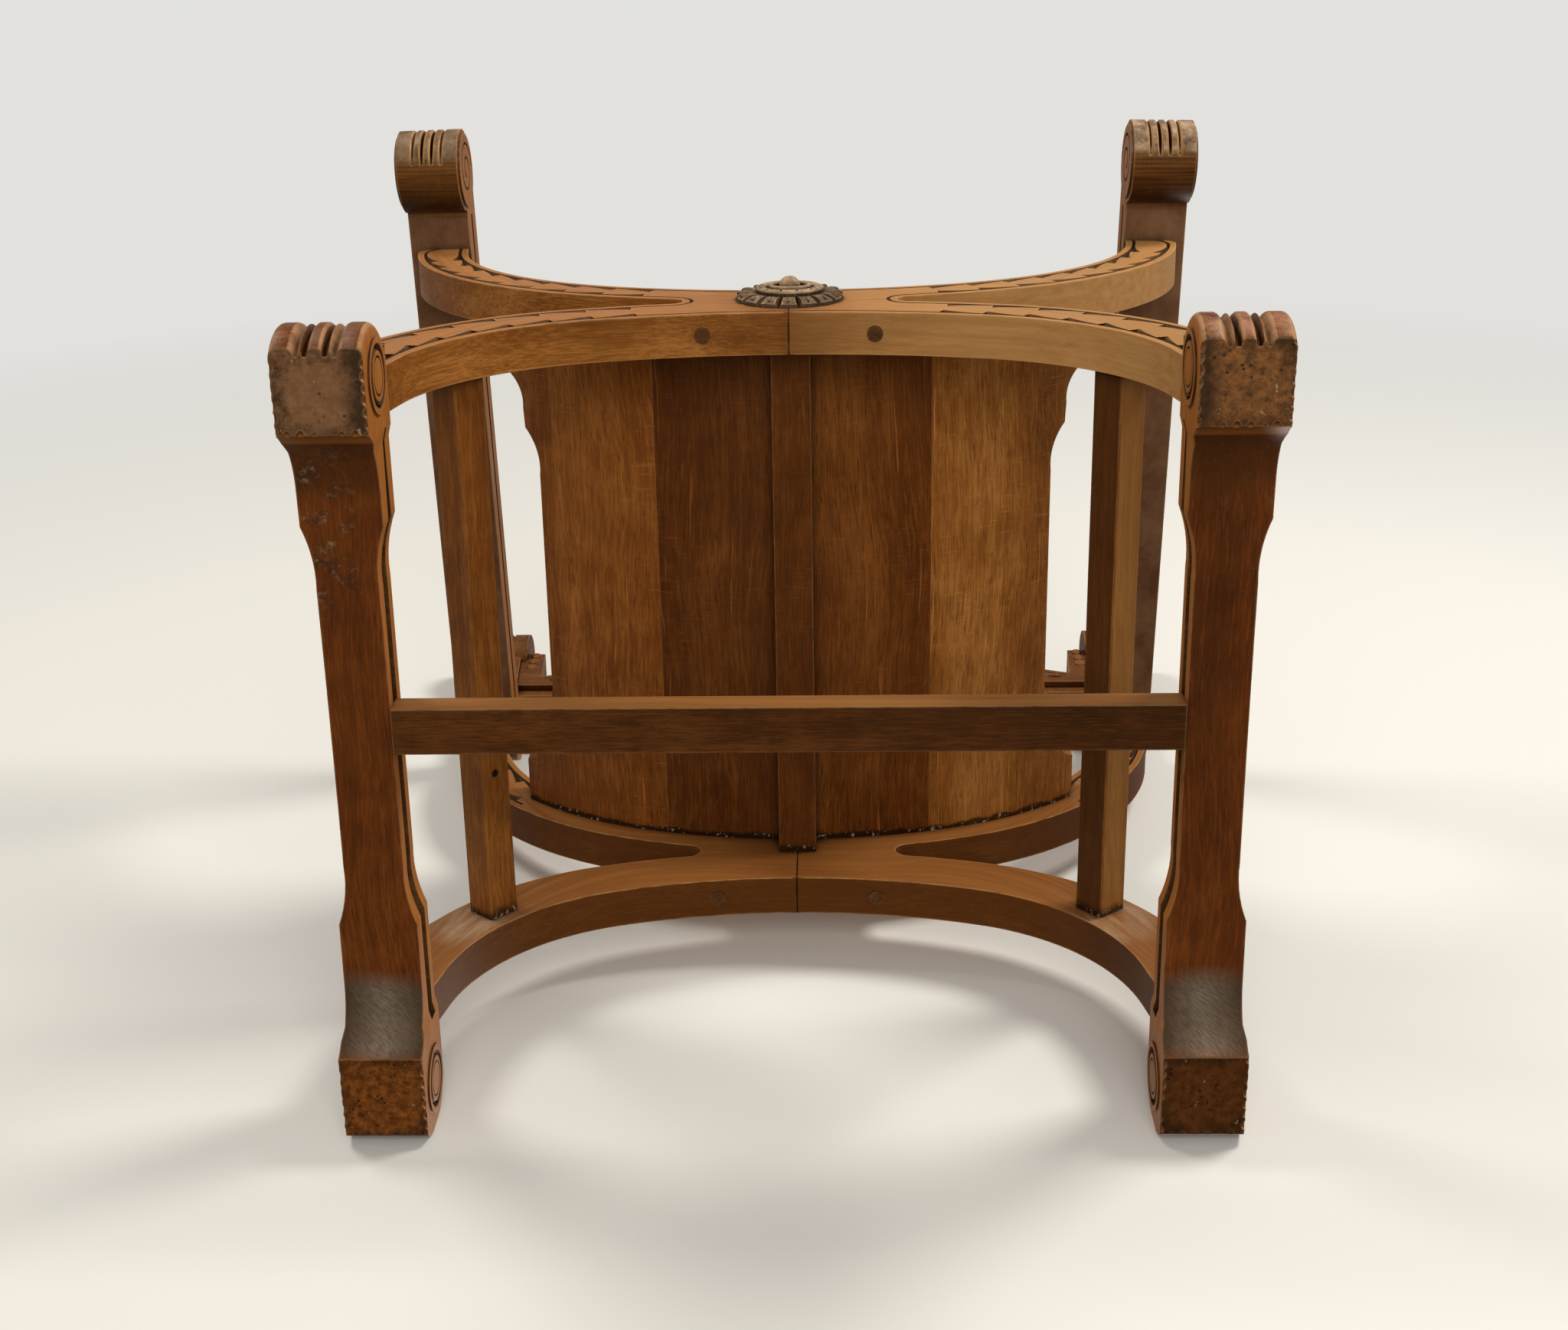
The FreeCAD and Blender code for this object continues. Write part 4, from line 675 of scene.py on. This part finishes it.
def spiral(centre, axis, start, outer, inner, turns):
    """A flat spiral about a centre, in the YZ plane."""
    path = []
    for share in shares(44):
        radius = outer + (inner - outer) * share**0.85
        angle = start + axis * tau * turns * share
        y, z = radius * cos(angle), radius * sin(angle)
        path.append(Vector((centre[0], centre[1] + y, centre[2] + z)))
    return path


def carve_out(item, lines, notches, name):
    """Takes shapes out of an object's mesh. The lines get the object's second material."""
    whole, marks = Shape(), []
    for slot, cuts in ((0, notches), (1, lines)):
        for cut in cuts:
            whole.add(cut.points, cut.faces)
            marks += [slot] * len(cut.faces)
    tool = placed(name, whole.mesh(name))
    for material in item.data.materials:
        tool.data.materials.append(material)
    for face, slot in zip(tool.data.polygons, marks):
        face.material_index = slot
    carve = item.modifiers.new("carve", "BOOLEAN")
    carve.operation = "DIFFERENCE"
    carve.solver = "EXACT"
    carve.use_self = True
    carve.object = tool
    graph = bpy.context.evaluated_depsgraph_get()
    carved = bpy.data.meshes.new_from_object(item.evaluated_get(graph))
    item.modifiers.clear()
    item.data = carved
    bpy.data.objects.remove(tool)


def dressed(name, node, lines=(), notches=(), relief=None):
    """A copy of a solid with lines and plain notches cut in it and relief laid on it. The lines are
    dark with wax and painted shade.
    """
    item = placed(name, nodes[node].data.copy())
    with edited(item.data) as change:
        bmesh.ops.remove_doubles(change, verts=change.verts, dist=0.004 * MM)
        for face in change.faces:
            face.material_index = 0
    # The cut lines get a second material, dark with wax and painted shade
    item.data.materials.append(waxed_cut)
    if lines or notches:
        carve_out(item, lines, notches, f"{name}_cuts")
    with edited(item.data) as change:
        if relief is not None:
            change.from_mesh(relief.mesh(f"{name}_relief"))
        for face in change.faces:
            face.smooth = True
        for edge in change.edges:
            edge.smooth = len(edge.link_faces) == 2 and edge.calc_face_angle(0) < SMOOTH_BELOW
    if "custom_normal" in item.data.attributes:
        item.data.attributes.remove(item.data.attributes["custom_normal"])
    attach(item, "root")
    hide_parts(node)


# The crossed frames: an incised line follows each edge, and a chain of overlapping leaves
# points along the field to the crossing. The arch stands below the crossing and the bow above
# it. Each has a flat bend and a tight bend, given by their radii, and an apex at the seam.

ARCH_DEPTH, BOW_DEPTH, BORDER = 52, 45, 7
ARCH_FLAT, ARCH_BEND, ARCH_APEX, ARCH_FOOT = 490, 178, 268, 64
BOW_FLAT, BOW_APEX, BOW_TOP = 450, 325, 626
FRONT_HAUNCH, REAR_HAUNCH = 300, 288
CROTCH = (97.2, 323.4)
LEAF_PITCH, LEAF_LENGTH = 35, 32

# How far along the bow the rear frame is plain, because the seat hides it

BARE_RUN = 268


def strip(kind, side, haunch):
    """The middle line of one half of an arch or bow with its outward normals, in the plane of
    the frame, from the seam to the straight end: (run, point, normal)."""
    if kind == "arch":
        half, up, turn, stop, end = ARCH_DEPTH / 2, -1, radians(18), radians(80), ARCH_FOOT
        flat, bend, apex = ARCH_FLAT + half, ARCH_BEND + half, ARCH_APEX + half
    else:
        half, up, turn, stop, end = BOW_DEPTH / 2, 1, radians(20), radians(85), BOW_TOP
        flat, bend, apex = BOW_FLAT - half, haunch - half, BOW_APEX + half
    centre = (0.0, apex + up * flat)
    middle = ((flat - bend) * sin(turn), centre[1] - up * (flat - bend) * cos(turn))
    spots = []
    bends = ((centre, flat, 0, turn, 24), (middle, bend, turn, stop, 40))
    for (cx, cz), radius, low, high, count in bends:
        for i in range(count):
            a = low + (high - low) * i / count
            nx, nz = sin(a), -up * cos(a)
            spots.append((cx + radius * nx, cz + radius * nz, nx, nz))
    nx, nz = sin(stop), -up * cos(stop)
    x, z = middle[0] + bend * nx, middle[1] + bend * nz
    for i in range(9):
        rise = (end - z) * i / 8
        spots.append((x + abs(rise) / tan(stop), z + rise, nx, nz))
    line, run = [], 0.0
    for i, (px, pz, nx, nz) in enumerate(spots):
        if i:
            run += dist((px, pz), spots[i - 1][:2])
        line.append((run, (side * px, pz), (side * nx, nz)))
    return line


def on_strip(line, run, off):
    """The point of a strip at a run along it and an offset towards its outer side."""
    for (r0, p0, n0), (r1, p1, n1) in zip(line, line[1:]):
        if run <= r1 or (r1, p1, n1) == line[-1]:
            share = (run - r0) / (r1 - r0)
            mix = [a + (b - a) * share for a, b in zip((*p0, *n0), (*p1, *n1))]
            return mix[0] + mix[2] * off, mix[1] + mix[3] * off


def leaf_edge(shape, line, start, edge, way, face):
    """One cut beside a leaf: wide and deep at its end towards the crossing, it narrows away
    and keeps close to the border line. way is the side of the field that it lies on."""
    path, sizes = [], []
    for share in shares(9):
        half = 0.5 + 3.7 * (1 - share) ** 1.6
        x, z = on_strip(line, start + share * LEAF_LENGTH, way * (edge - half - 1.0))
        path.append(Vector((x, face, z)))
        sizes.append((half, 0.7 + 3.6 * (1 - share)))
    shape.sweep(path, FORWARD, flute(1.0, 1.0), sizes)


def frame_cuts(side, haunch, face, whole):
    """The incised lines and leaves of one half of a crossed frame. Where whole is false, only
    the end of the bow has them."""
    arch, bow = strip("arch", side, haunch), strip("bow", side, haunch)
    lines, leaves = Shape(), Shape()
    groove = vee(1.7, 2.6)
    arch_off, bow_off = ARCH_DEPTH / 2 - BORDER, BOW_DEPTH / 2 - BORDER
    arch_end, bow_end = arch[-1][0], bow[-1][0]
    round_end, leave, turn_in = 12 + BORDER, 96.0, 30
    inwards = ((1, 10), (4, 19), (9, 27), (15, 33))

    def along(line, off, start, stop):
        spots = [on_strip(line, start + (stop - start) * i / 59, off) for i in range(60)]
        return [Vector((x, face, z)) for x, z in spots]

    def outer_end(path):
        """Turns the outer line of the bow in under the armrest."""
        return path + [path[-1] + Vector((-side * x, 0, z)) for x, z in inwards]

    def chain(line, off, first, room):
        """Cuts beside pairs of leaves along a strip, as many as the room holds."""
        for i in range(int(room / LEAF_PITCH)):
            for way in (-1, 1):
                leaf_edge(leaves, line, first + LEAF_PITCH * i, off, way, face)

    low = 0 if whole else BARE_RUN
    lines.sweep(along(bow, -bow_off, low - 2, bow_end), FORWARD, groove)
    if whole:
        lines.sweep(along(arch, -arch_off, -2, arch_end), FORWARD, groove)
        joined = along(arch, arch_off, arch_end, leave)
        for x, z in circle(round_end, [radians(-80 - 200 * i / 12) for i in range(1, 12)]):
            joined.append(Vector((side * (CROTCH[0] + x), face, CROTCH[1] + z)))
        joined += along(bow, bow_off, leave, bow_end - turn_in)
        lines.sweep(outer_end(joined), FORWARD, groove)
        chain(arch, arch_off, 122, arch_end - 130)
    else:
        lines.sweep(outer_end(along(bow, bow_off, low, bow_end - turn_in)), FORWARD, groove)
    first = 118 if whole else low + 12
    chain(bow, bow_off, first, bow_end - first - 40)
    return [lines, leaves]


# Runners: notches in the toe, a sunk line along each side, and rings on the end discs. The
# outline of a runner's side is seen from above, as (depth, half width).

TOE = ((-261, 0), (-272, 35), (-250, 70))
DISCS, DISC_HEIGHT = (-235, 304), 37
WAIST = arc_points((-132, 29), (-115.9, 24.1), (-86, 22), 8)
WAIST += arc_points((126, 22), (155.9, 24.1), (172, 29), 8)
CHIPS_TO_A_PAD = 26


def toe_path(x):
    """A line up over the toe at one place across the chair, and its outward directions."""
    path = [Vector((x, y, z)) for y, z in arc_points(*TOE, 15)]
    ups = []
    for i in range(len(path)):
        run = path[min(i + 1, 14)] - path[max(i - 1, 0)]
        ups.append(Vector((0, -run.z, run.y)).normalized())
    lift = (path[1] - path[0]).normalized() * 3
    return [path[0] - lift, *path, path[-1] + lift], [ups[0], *ups, ups[-1]]


def ring(shape, centre, radius, profile, way):
    """A closed round groove on a face across the chair."""
    turns = circle(radius, [tau * i / 36 for i in range(37)])
    path = [Vector((centre[0], centre[1] + y, centre[2] + z)) for y, z in turns]
    shape.sweep(path, way * WIDE, profile)


def pad_chips(side):
    """Small chips broken out of the rims of both pads, spread by steps of the golden ratio."""
    chips = Shape()
    for number in range(CHIPS_TO_A_PAD):
        share, size = (0.618 * number) % 1, 1.0 + 2.2 * abs(sin(7.1 * number + side))
        across, y = ((2 * share - 1, 1), (1, 2 * share - 1), (-1, 2 * share - 1))[number % 3]
        for middle, half_run in PADS:
            x = side * RUNNER_X + across * (RUNNER_HALF + 0.3)
            spot = (x, middle + y * (half_run + 0.2), -0.4)
            chips.bead(spot, (size, 1.4 * size, 0.9 * size), (WIDE, DEEP, HIGH), 4, 7)
    return chips


def runner_cuts(side):
    toes, edges, lines, rings = Shape(), Shape(), Shape(), Shape()
    x = side * RUNNER_X
    for off, half, depth in ((-12.8, 4.4, 5.5), (-6.8, 3.4, 7.5), (6.8, 3.4, 7.5), (12.8, 4.4, 5.5)):
        toes.sweep(*toe_path(x + off), flute(half, depth))
    for way in (-1, 1):
        edges.sweep(*toe_path(x + way * RUNNER_HALF), rounding(5, way))
    outline = [(-196, 31), (-187, 29), *WAIST, (251, 29), (259, 31)]
    sizes = [(min(1.0, 0.35 + (y + 196) / 160), 1) for y, half in outline]
    for flank in (-1, 1):
        path = [Vector((x + flank * half, y, 52)) for y, half in outline]
        lines.sweep(path, flank * WIDE, trough(7.0, 4.5), sizes)
        for y in DISCS:
            face = (x + flank * (RUNNER_HALF + 1.5), y, DISC_HEIGHT)
            ring(rings, face, 19.5, vee(2.5, 3.4), flank)
            ring(rings, face, 13, vee(0.9, 1.3), flank)
    return [lines, rings], [toes, edges, pad_chips(side)]


# Arms and ears: notches over the roll, feathered out below, and scrolls on the roll's ends

ROLL, ROLL_RADIUS, ROLL_X = (-304, 623), 37, 334
EAR, EAR_RADIUS, EAR_X = (265.5, 860), 32, 345
SPLAY = atan2(14, 553)


def roll_notches(shape, centre, radius, spots, start, stop, depth):
    """Notches round a roll between two angles, as (place across, share of the depth)."""
    for x, deep in spots:
        path, ups, sizes = [], [], []
        for share in shares(28):
            a = radians(start + (stop - start) * share)
            out = Vector((0, cos(a), sin(a)))
            path.append(Vector((x, *centre)) + out * radius)
            ups.append(out)
            fade = min(1.0, (1.03 - share) * 7, (share + 0.04) * 6)
            sizes.append((0.6 + 0.4 * fade, fade))
        shape.sweep(path, ups, flute(1.9, depth * deep), sizes)


def arm_cuts(side):
    """The cuts of an arm, drawn straight along the depth and then set out and splayed."""
    notches, scrolls = Shape(), Shape()
    spots = ((-13, 0.8), (-4.5, 1.5), (4.5, 1.5), (13, 0.8))
    roll_notches(notches, ROLL, ROLL_RADIUS, spots, 96, 256, 4.4)
    for flank in (-1, 1):
        path = spiral((flank * 30, *ROLL), 1, 0.5 * pi, 28, 6, 1.7)
        scrolls.sweep(path, flank * WIDE, round_profile(1.5, 6))
        path = [Vector((flank * 28, y, 640)) for y in range(-262, 281, 18)]
        scrolls.sweep(path, flank * WIDE, trough(3.2, 3.2))
        path = [Vector((flank * 20, y, 660)) for y in range(-290, 241, 53)]
        scrolls.sweep(path, HIGH, vee(1.2, 1.6))
    off = Matrix.Translation((side * (ROLL_X + ROLL[0] * tan(SPLAY)), 0, 0))
    place = off @ Matrix.Rotation(side * SPLAY, 4, "Z")
    return [scrolls.moved(place)], [notches.moved(place)]


def post_cuts(side):
    notches, scrolls = Shape(), Shape()
    spots = [(side * EAR_X + off, 1.0) for off in (-18, -8, 8, 18)]
    roll_notches(notches, EAR, EAR_RADIUS, spots, 102, 233, 3.4)
    path = spiral((side * (EAR_X + 36), *EAR), -1, 0.5 * pi, 24, 6, 1.6)
    scrolls.sweep(path, side * WIDE, round_profile(1.4, 6))
    for foot, head in ((307, 323), (333, 353)):
        xs = [side * (foot + (head - foot) * i / 8) for i in range(9)]
        path = [Vector((x, REAR_FACE, 664 + 20 * i)) for i, x in enumerate(xs)]
        scrolls.sweep(path, FORWARD, vee(1.2, 1.8))
    return [scrolls], [notches]


# The boss: petals are cut round its rim and round its ring

BOSS = Vector((0, FRONT_FACE, 328))
RIM_PETALS, RING_PETALS = 16, 12


def directions(angle):
    """Outwards at an angle and square to it, in the plane of the chair's front."""
    return Vector((cos(angle), 0, sin(angle))), Vector((-sin(angle), 0, cos(angle)))


def boss_cuts():
    """Cuts between the petals, wider and deeper towards their outer ends."""
    petals = Shape()
    sizes = [(0.2 + 0.8 * share, 0.4 + 0.6 * share) for share in shares(4)]
    for count, inner, outer, low, high, half, deep in (
        (RIM_PETALS, 28, 46, 7.0, 4.0, 3.6, 5.5),
        (RING_PETALS, 18, 25, 8.6, 11.2, 1.2, 1.8),
    ):
        for i in range(count):
            ray = directions(tau * (i + 0.5) / count)[0]
            path = []
            for share in shares(4):
                out, up = inner + (outer - inner) * share, low + (high - low) * share
                path.append(BOSS + ray * out + FORWARD * up)
            petals.sweep(path, FORWARD, vee(half, deep), sizes)
    return [petals]


def boss_relief():
    """Two turned beads on the boss, and a rib along each petal."""
    shape = Shape()
    for radius, height, thick in ((25.5, 8.6, 1.8), (15.5, 10.6, 1.9)):
        turns = circle(radius, [tau * i / 48 for i in range(49)])
        shape.sweep([BOSS + Vector((x, -height, z)) for x, z in turns], FORWARD, round_profile(thick))
    for i in range(RIM_PETALS):
        out, across = directions(tau * i / RIM_PETALS)
        shape.bead(BOSS + out * 35.5 + FORWARD * 5.2, (7.0, 1.5, 2.2), (out, across, FORWARD), 6, 8)
    return shape


# The back: scrolling stems with leaves rise from the middle of the crest, over a row of pearls.
# The line is the right half of the crest's upper edge, from the side block to the middle.

CREST_END, CREST_SHOULDER = (285, 780), (179, 868)
CREST_LINE = arc_points(CREST_END, (238, 804), CREST_SHOULDER, 14)
CREST_LINE += arc_points(CREST_SHOULDER, (0, 940), (-179, 868), 40)[1:20]
CREST_MARGIN, LEAF_MARGIN = 7, 10
PEARL_PITCH, PEARL_HEIGHT = 18.6, 737
UPRIGHT = radians(90)

# Scrolls: middle, radius, way round, and the points that lead the stem into the coil

SCROLLS = (
    ((94, 845), 44, 1, ((8, 771), (40, 764), (62, 801))),
    ((176, 804), 28, -1, ((104, 801), (130, 804), (150, 832))),
    ((236, 776), 16, 1, ((184, 777), (204, 772), (218, 760))),
)

# Fans of leaves: place, heading, number of lobes and length

FANS = (
    (128, 806, -50, 4, 32),
    (146, 836, 100, 3, 26),
    (207, 776, 45, 3, 20),
    (56, 790, -60, 3, 22),
    (262, 768, 40, 3, 18),
)


def stem(shape, flat_path, thick):
    """A rounded stem on the crest along points of its plane, tapering to its end."""
    path = [Vector((x, CREST_FACE, z)) for x, z in flat_path]
    last = len(path) - 1
    sizes = [(thick * (1 - 0.65 * i / last), 0.9 * thick * (1 - 0.5 * i / last)) for i in range(last + 1)]
    shape.sweep(path, FORWARD, HALF_ROUND, sizes)
    shape.bead(path[-1], (0.8 * thick, 0.8 * thick, 0.7 * thick), ON_FRONT, 6, 10)


def lobe(shape, x, z, angle, length, width, height):
    """One long rounded lobe that starts at a point of the crest."""
    out, across = directions(angle)
    middle = Vector((x, CREST_FACE, z)) + out * length * 0.5
    shape.bead(middle, (length * 0.55, width / 2, height), (out, across, FORWARD), 6, 10)


def coil(centre, outer, inner, start, turns, way, steps):
    """Points of a scroll in the plane of the crest."""
    spots = []
    for share in shares(steps):
        radius = outer + (inner - outer) * share**0.8
        a = start + way * tau * turns * share
        spots.append((centre[0] + radius * cos(a), centre[1] + radius * sin(a)))
    return spots


def on_crest(x, z):
    """Whether a point of the right half lies on the crest, a margin inside its border."""
    for (x0, z0), (x1, z1) in zip(CREST_LINE, CREST_LINE[1:]):
        if x1 <= x <= x0:
            return 758 < z < z0 + (z1 - z0) * (x - x0) / (x1 - x0) - LEAF_MARGIN
    return x < CREST_END[0] and z > 760


def leaf_lobe(shape, side, x, z, heading, length, width):
    """A leaf lobe on one half of the crest, left out where it would cross the border."""
    a = radians(heading)
    if on_crest(x + length * cos(a), z + length * sin(a)):
        lobe(shape, side * x, z, a if side > 0 else pi - a, length, width, 3.3)


def fan(shape, side, x, z, heading, count, length):
    """Leaf lobes spread like fingers from one point of a stem."""
    for k in range(count):
        lean = (k - (count - 1) / 2) / max(count - 1, 1)
        leaf_lobe(shape, side, x, z, heading + 78 * lean, length * (1 - 0.9 * lean * lean), 0.3 * length)


def palmette(shape):
    """Nine feathers spread over a bud in the middle of the crest."""
    for i in range(-4, 5):
        a, reach = radians(90 - 19 * i), 92 - 9 * abs(i)
        lobe(shape, 3.0 * i, 804, a, reach, 9, 3.6)
        x, z = 3.0 * i + 0.7 * reach * cos(a), 804 + 0.7 * reach * sin(a)
        lobe(shape, x, z, a, 0.26 * reach, 15 - abs(i), 4.6)
    lobe(shape, 0, 792, UPRIGHT, 26, 22, 6.0)


def scroll(shape, side, centre, outer, way, lead):
    """A stem that swings in along a curve and coils round a bead, with leaves outside it."""
    start = -90 if way > 0 else 90
    spots = coil(centre, outer, 0.14 * outer, radians(start), 1.75, way, 48)
    spots = bezier(*lead, spots[0], 9)[:-1] + spots
    stem(shape, [(side * x, z) for x, z in spots], 0.09 * outer + 2.2)
    middle = Vector((side * centre[0], CREST_FACE, centre[1]))
    shape.bead(middle, (0.2 * outer, 0.2 * outer, 5), ON_FRONT)
    for k in range(7):
        heading = start + way * (30 + 40 * k)
        a = radians(heading)
        x, z = centre[0] + 1.02 * outer * cos(a), centre[1] + 1.02 * outer * sin(a)
        leaf_lobe(shape, side, x, z, heading + way * 46, 0.42 * outer, 0.21 * outer)


def crest_relief():
    shape = Shape()
    palmette(shape)
    for side in (-1, 1):
        curl = coil((15, 781), 11, 2, radians(110), 1.3, -1, 24)
        stem(shape, [(side * x, z) for x, z in curl], 3.4)
        for turns in SCROLLS:
            scroll(shape, side, *turns)
        for leaves in FANS:
            fan(shape, side, *leaves)
        for k, height in enumerate((800, 818, 836)):
            lobe(shape, side * 300, height, UPRIGHT, 15, 13 - k, 3.2)
    return shape


def crest_cuts():
    """A line that follows the upper edge of the crest."""
    edge = Shape()
    for side in (-1, 1):
        spots = []
        for i, (x, z) in enumerate(CREST_LINE):
            before, after = CREST_LINE[max(i - 1, 0)], CREST_LINE[min(i + 1, len(CREST_LINE) - 1)]
            run = Vector((after[0] - before[0], after[1] - before[1])).normalized()
            inset_x, inset_z = x - CREST_MARGIN * run.y, z + CREST_MARGIN * run.x
            spots.append(Vector((side * inset_x, CREST_FACE, inset_z)))
        edge.sweep(spots, FORWARD, vee(1.6, 2.2))
    return [edge]


def pearl_relief():
    """A row of pearls with a narrow reel between each two."""
    shape = Shape()
    for i in range(-15, 16):
        pearl = Vector((PEARL_PITCH * i, PANEL_FACE, PEARL_HEIGHT))
        shape.bead(pearl, (5.2, 5.2, 3.4), ON_FRONT, 6, 10)
        if i < 15:
            reel = Vector((PEARL_PITCH * (i + 0.5), PANEL_FACE, PEARL_HEIGHT))
            shape.bead(reel, (2.2, 5.6, 2.6), ON_FRONT, 6, 8)
    return shape


def rail_cuts():
    """Two level lines on the lower rail of the back."""
    lines = Shape()
    for z in (697.5, 716.5):
        lines.sweep([Vector((x, CREST_FACE, z)) for x in range(-296, 297, 37)], FORWARD, vee(1.3, 2.0))
    return [lines]


for side, word in ((-1, "left"), (1, "right")):
    front = frame_cuts(side, FRONT_HAUNCH, FRONT_FACE, True)
    rear = frame_cuts(side, REAR_HAUNCH, REAR_FACE, False)
    dressed(f"carved_front_frame_{word}", f"front_frame_{word}", front)
    dressed(f"carved_rear_frame_{word}", f"rear_frame_{word}", rear)
    dressed(f"carved_runner_{word}", f"runner_{word}", *runner_cuts(side))
    dressed(f"carved_arm_{word}", f"arm_{word}", *arm_cuts(side))
    dressed(f"carved_post_{word}", f"back_post_{word}", *post_cuts(side))
dressed("carved_boss", "front_boss", boss_cuts(), relief=boss_relief())
dressed("carved_crest", "crest_rail", crest_cuts(), relief=crest_relief())
dressed("carved_panel", "back_panel", relief=pearl_relief())
dressed("carved_lower_rail", "back_lower_rail", rail_cuts())


# Floor, backdrop, light and camera. In the photograph the chair lies on its back, so the
# camera looks at the upright chair from below its front, and a second pale sheet stands
# where that floor is, against the back of the chair. Each sheet shows from one side only.


def soft_sheet(name, centre, normal, reach, clear):
    """A pale disc that takes the chair's shadow, fades out towards its rim and lights nothing."""
    material = bpy.data.materials.new(f"{name}_paint")
    n = Nodes(material)
    place = n.add("TexCoord").outputs["Object"]
    away = n.add("VectorMath", {0: place}, operation="LENGTH").outputs["Value"]
    pale = {"Base Color": colour(204, 202, 197), "Roughness": 0.9, "Specular IOR Level": 0.1}
    n.wire(n.shader, pale)
    behind = n.add("NewGeometry").outputs["Backfacing"]
    hidden = n.larger(n.spread(away, clear, reach), behind)
    glass = n.add("BsdfTransparent")
    mixed = n.add("MixShader", {0: hidden, 1: n.shader.outputs[0], 2: glass.outputs[0]})
    n.wire(n.tree.nodes["Material Output"], {"Surface": mixed.outputs[0]})
    bpy.ops.mesh.primitive_circle_add(vertices=96, radius=reach, fill_type="NGON")
    disc = bpy.context.object
    disc.name = name
    disc.location = centre
    disc.rotation_euler = HIGH.rotation_difference(Vector(normal)).to_euler()
    paint(disc, material)
    for kind in ("diffuse", "glossy", "transmission", "shadow"):
        setattr(disc, f"visible_{kind}", False)


BACK_PLANE, BACK_LEAN = 0.341, 0.0534
SHEET_HEIGHT = 0.3
soft_sheet("floor", (0, 0, 0), (0, 0, 1), 1.8, 0.6)
touching = (0, BACK_PLANE - BACK_LEAN * SHEET_HEIGHT, SHEET_HEIGHT)
soft_sheet("backdrop", touching, (0, -1, -BACK_LEAN), 2.6, 1.2)

world = bpy.data.worlds.new("world")
bpy.context.scene.world = world
n = Nodes(world)
shown = n.tree.nodes["Background"]
n.wire(shown, {"Color": colour(226, 225, 222), "Strength": 1.0})
lit = n.add("Background", {"Color": (1.0, 0.96, 0.90, 1), "Strength": 0.36})
seen = n.add("LightPath").outputs["Is Camera Ray"]
choose = n.add("MixShader", {0: seen, 1: lit.outputs[0], 2: shown.outputs[0]})
n.wire(n.tree.nodes["World Output"], {"Surface": choose.outputs[0]})

AIM = Vector((0, 0, 0.4))


def lamp(name, spot, width, power):
    """A warm round lamp that shines at the middle of the chair."""
    light = bpy.data.lights.new(name, "AREA")
    light.shape = "DISK"
    light.size = width
    light.energy = power
    light.color = (1.0, 0.97, 0.92)
    item = placed(name, light)
    item.location = spot
    item.rotation_euler = (AIM - Vector(spot)).to_track_quat("-Z", "Y").to_euler()


lamp("key_left", (-1.6, -2.5, 1.2), 1.0, 46)
lamp("key_right", (1.7, -2.5, 0.9), 1.0, 84)
lamp("fill_low", (0.2, -1.3, -2.3), 1.8, 51)
lamp("rim", (0.8, 2.6, 1.8), 1.6, 45)

camera_data = bpy.data.cameras.new("camera")
camera_data.sensor_width = 36
camera_data.lens = 47.74
camera = placed("camera", camera_data)
bpy.context.scene.camera = camera
EYE = (0.0370, -0.5213, -1.3351)
RIGHT = Vector((0.99963, 0.01583, 0.02228))
UP = Vector((0.00734, -0.94067, 0.33925))
BEHIND = Vector((0.02633, -0.33896, -0.94043))
turn = Matrix((RIGHT, UP, BEHIND)).transposed()
camera.matrix_world = Matrix.Translation(EYE) @ turn.to_4x4()

bpy.context.scene.view_settings.view_transform = "Standard"
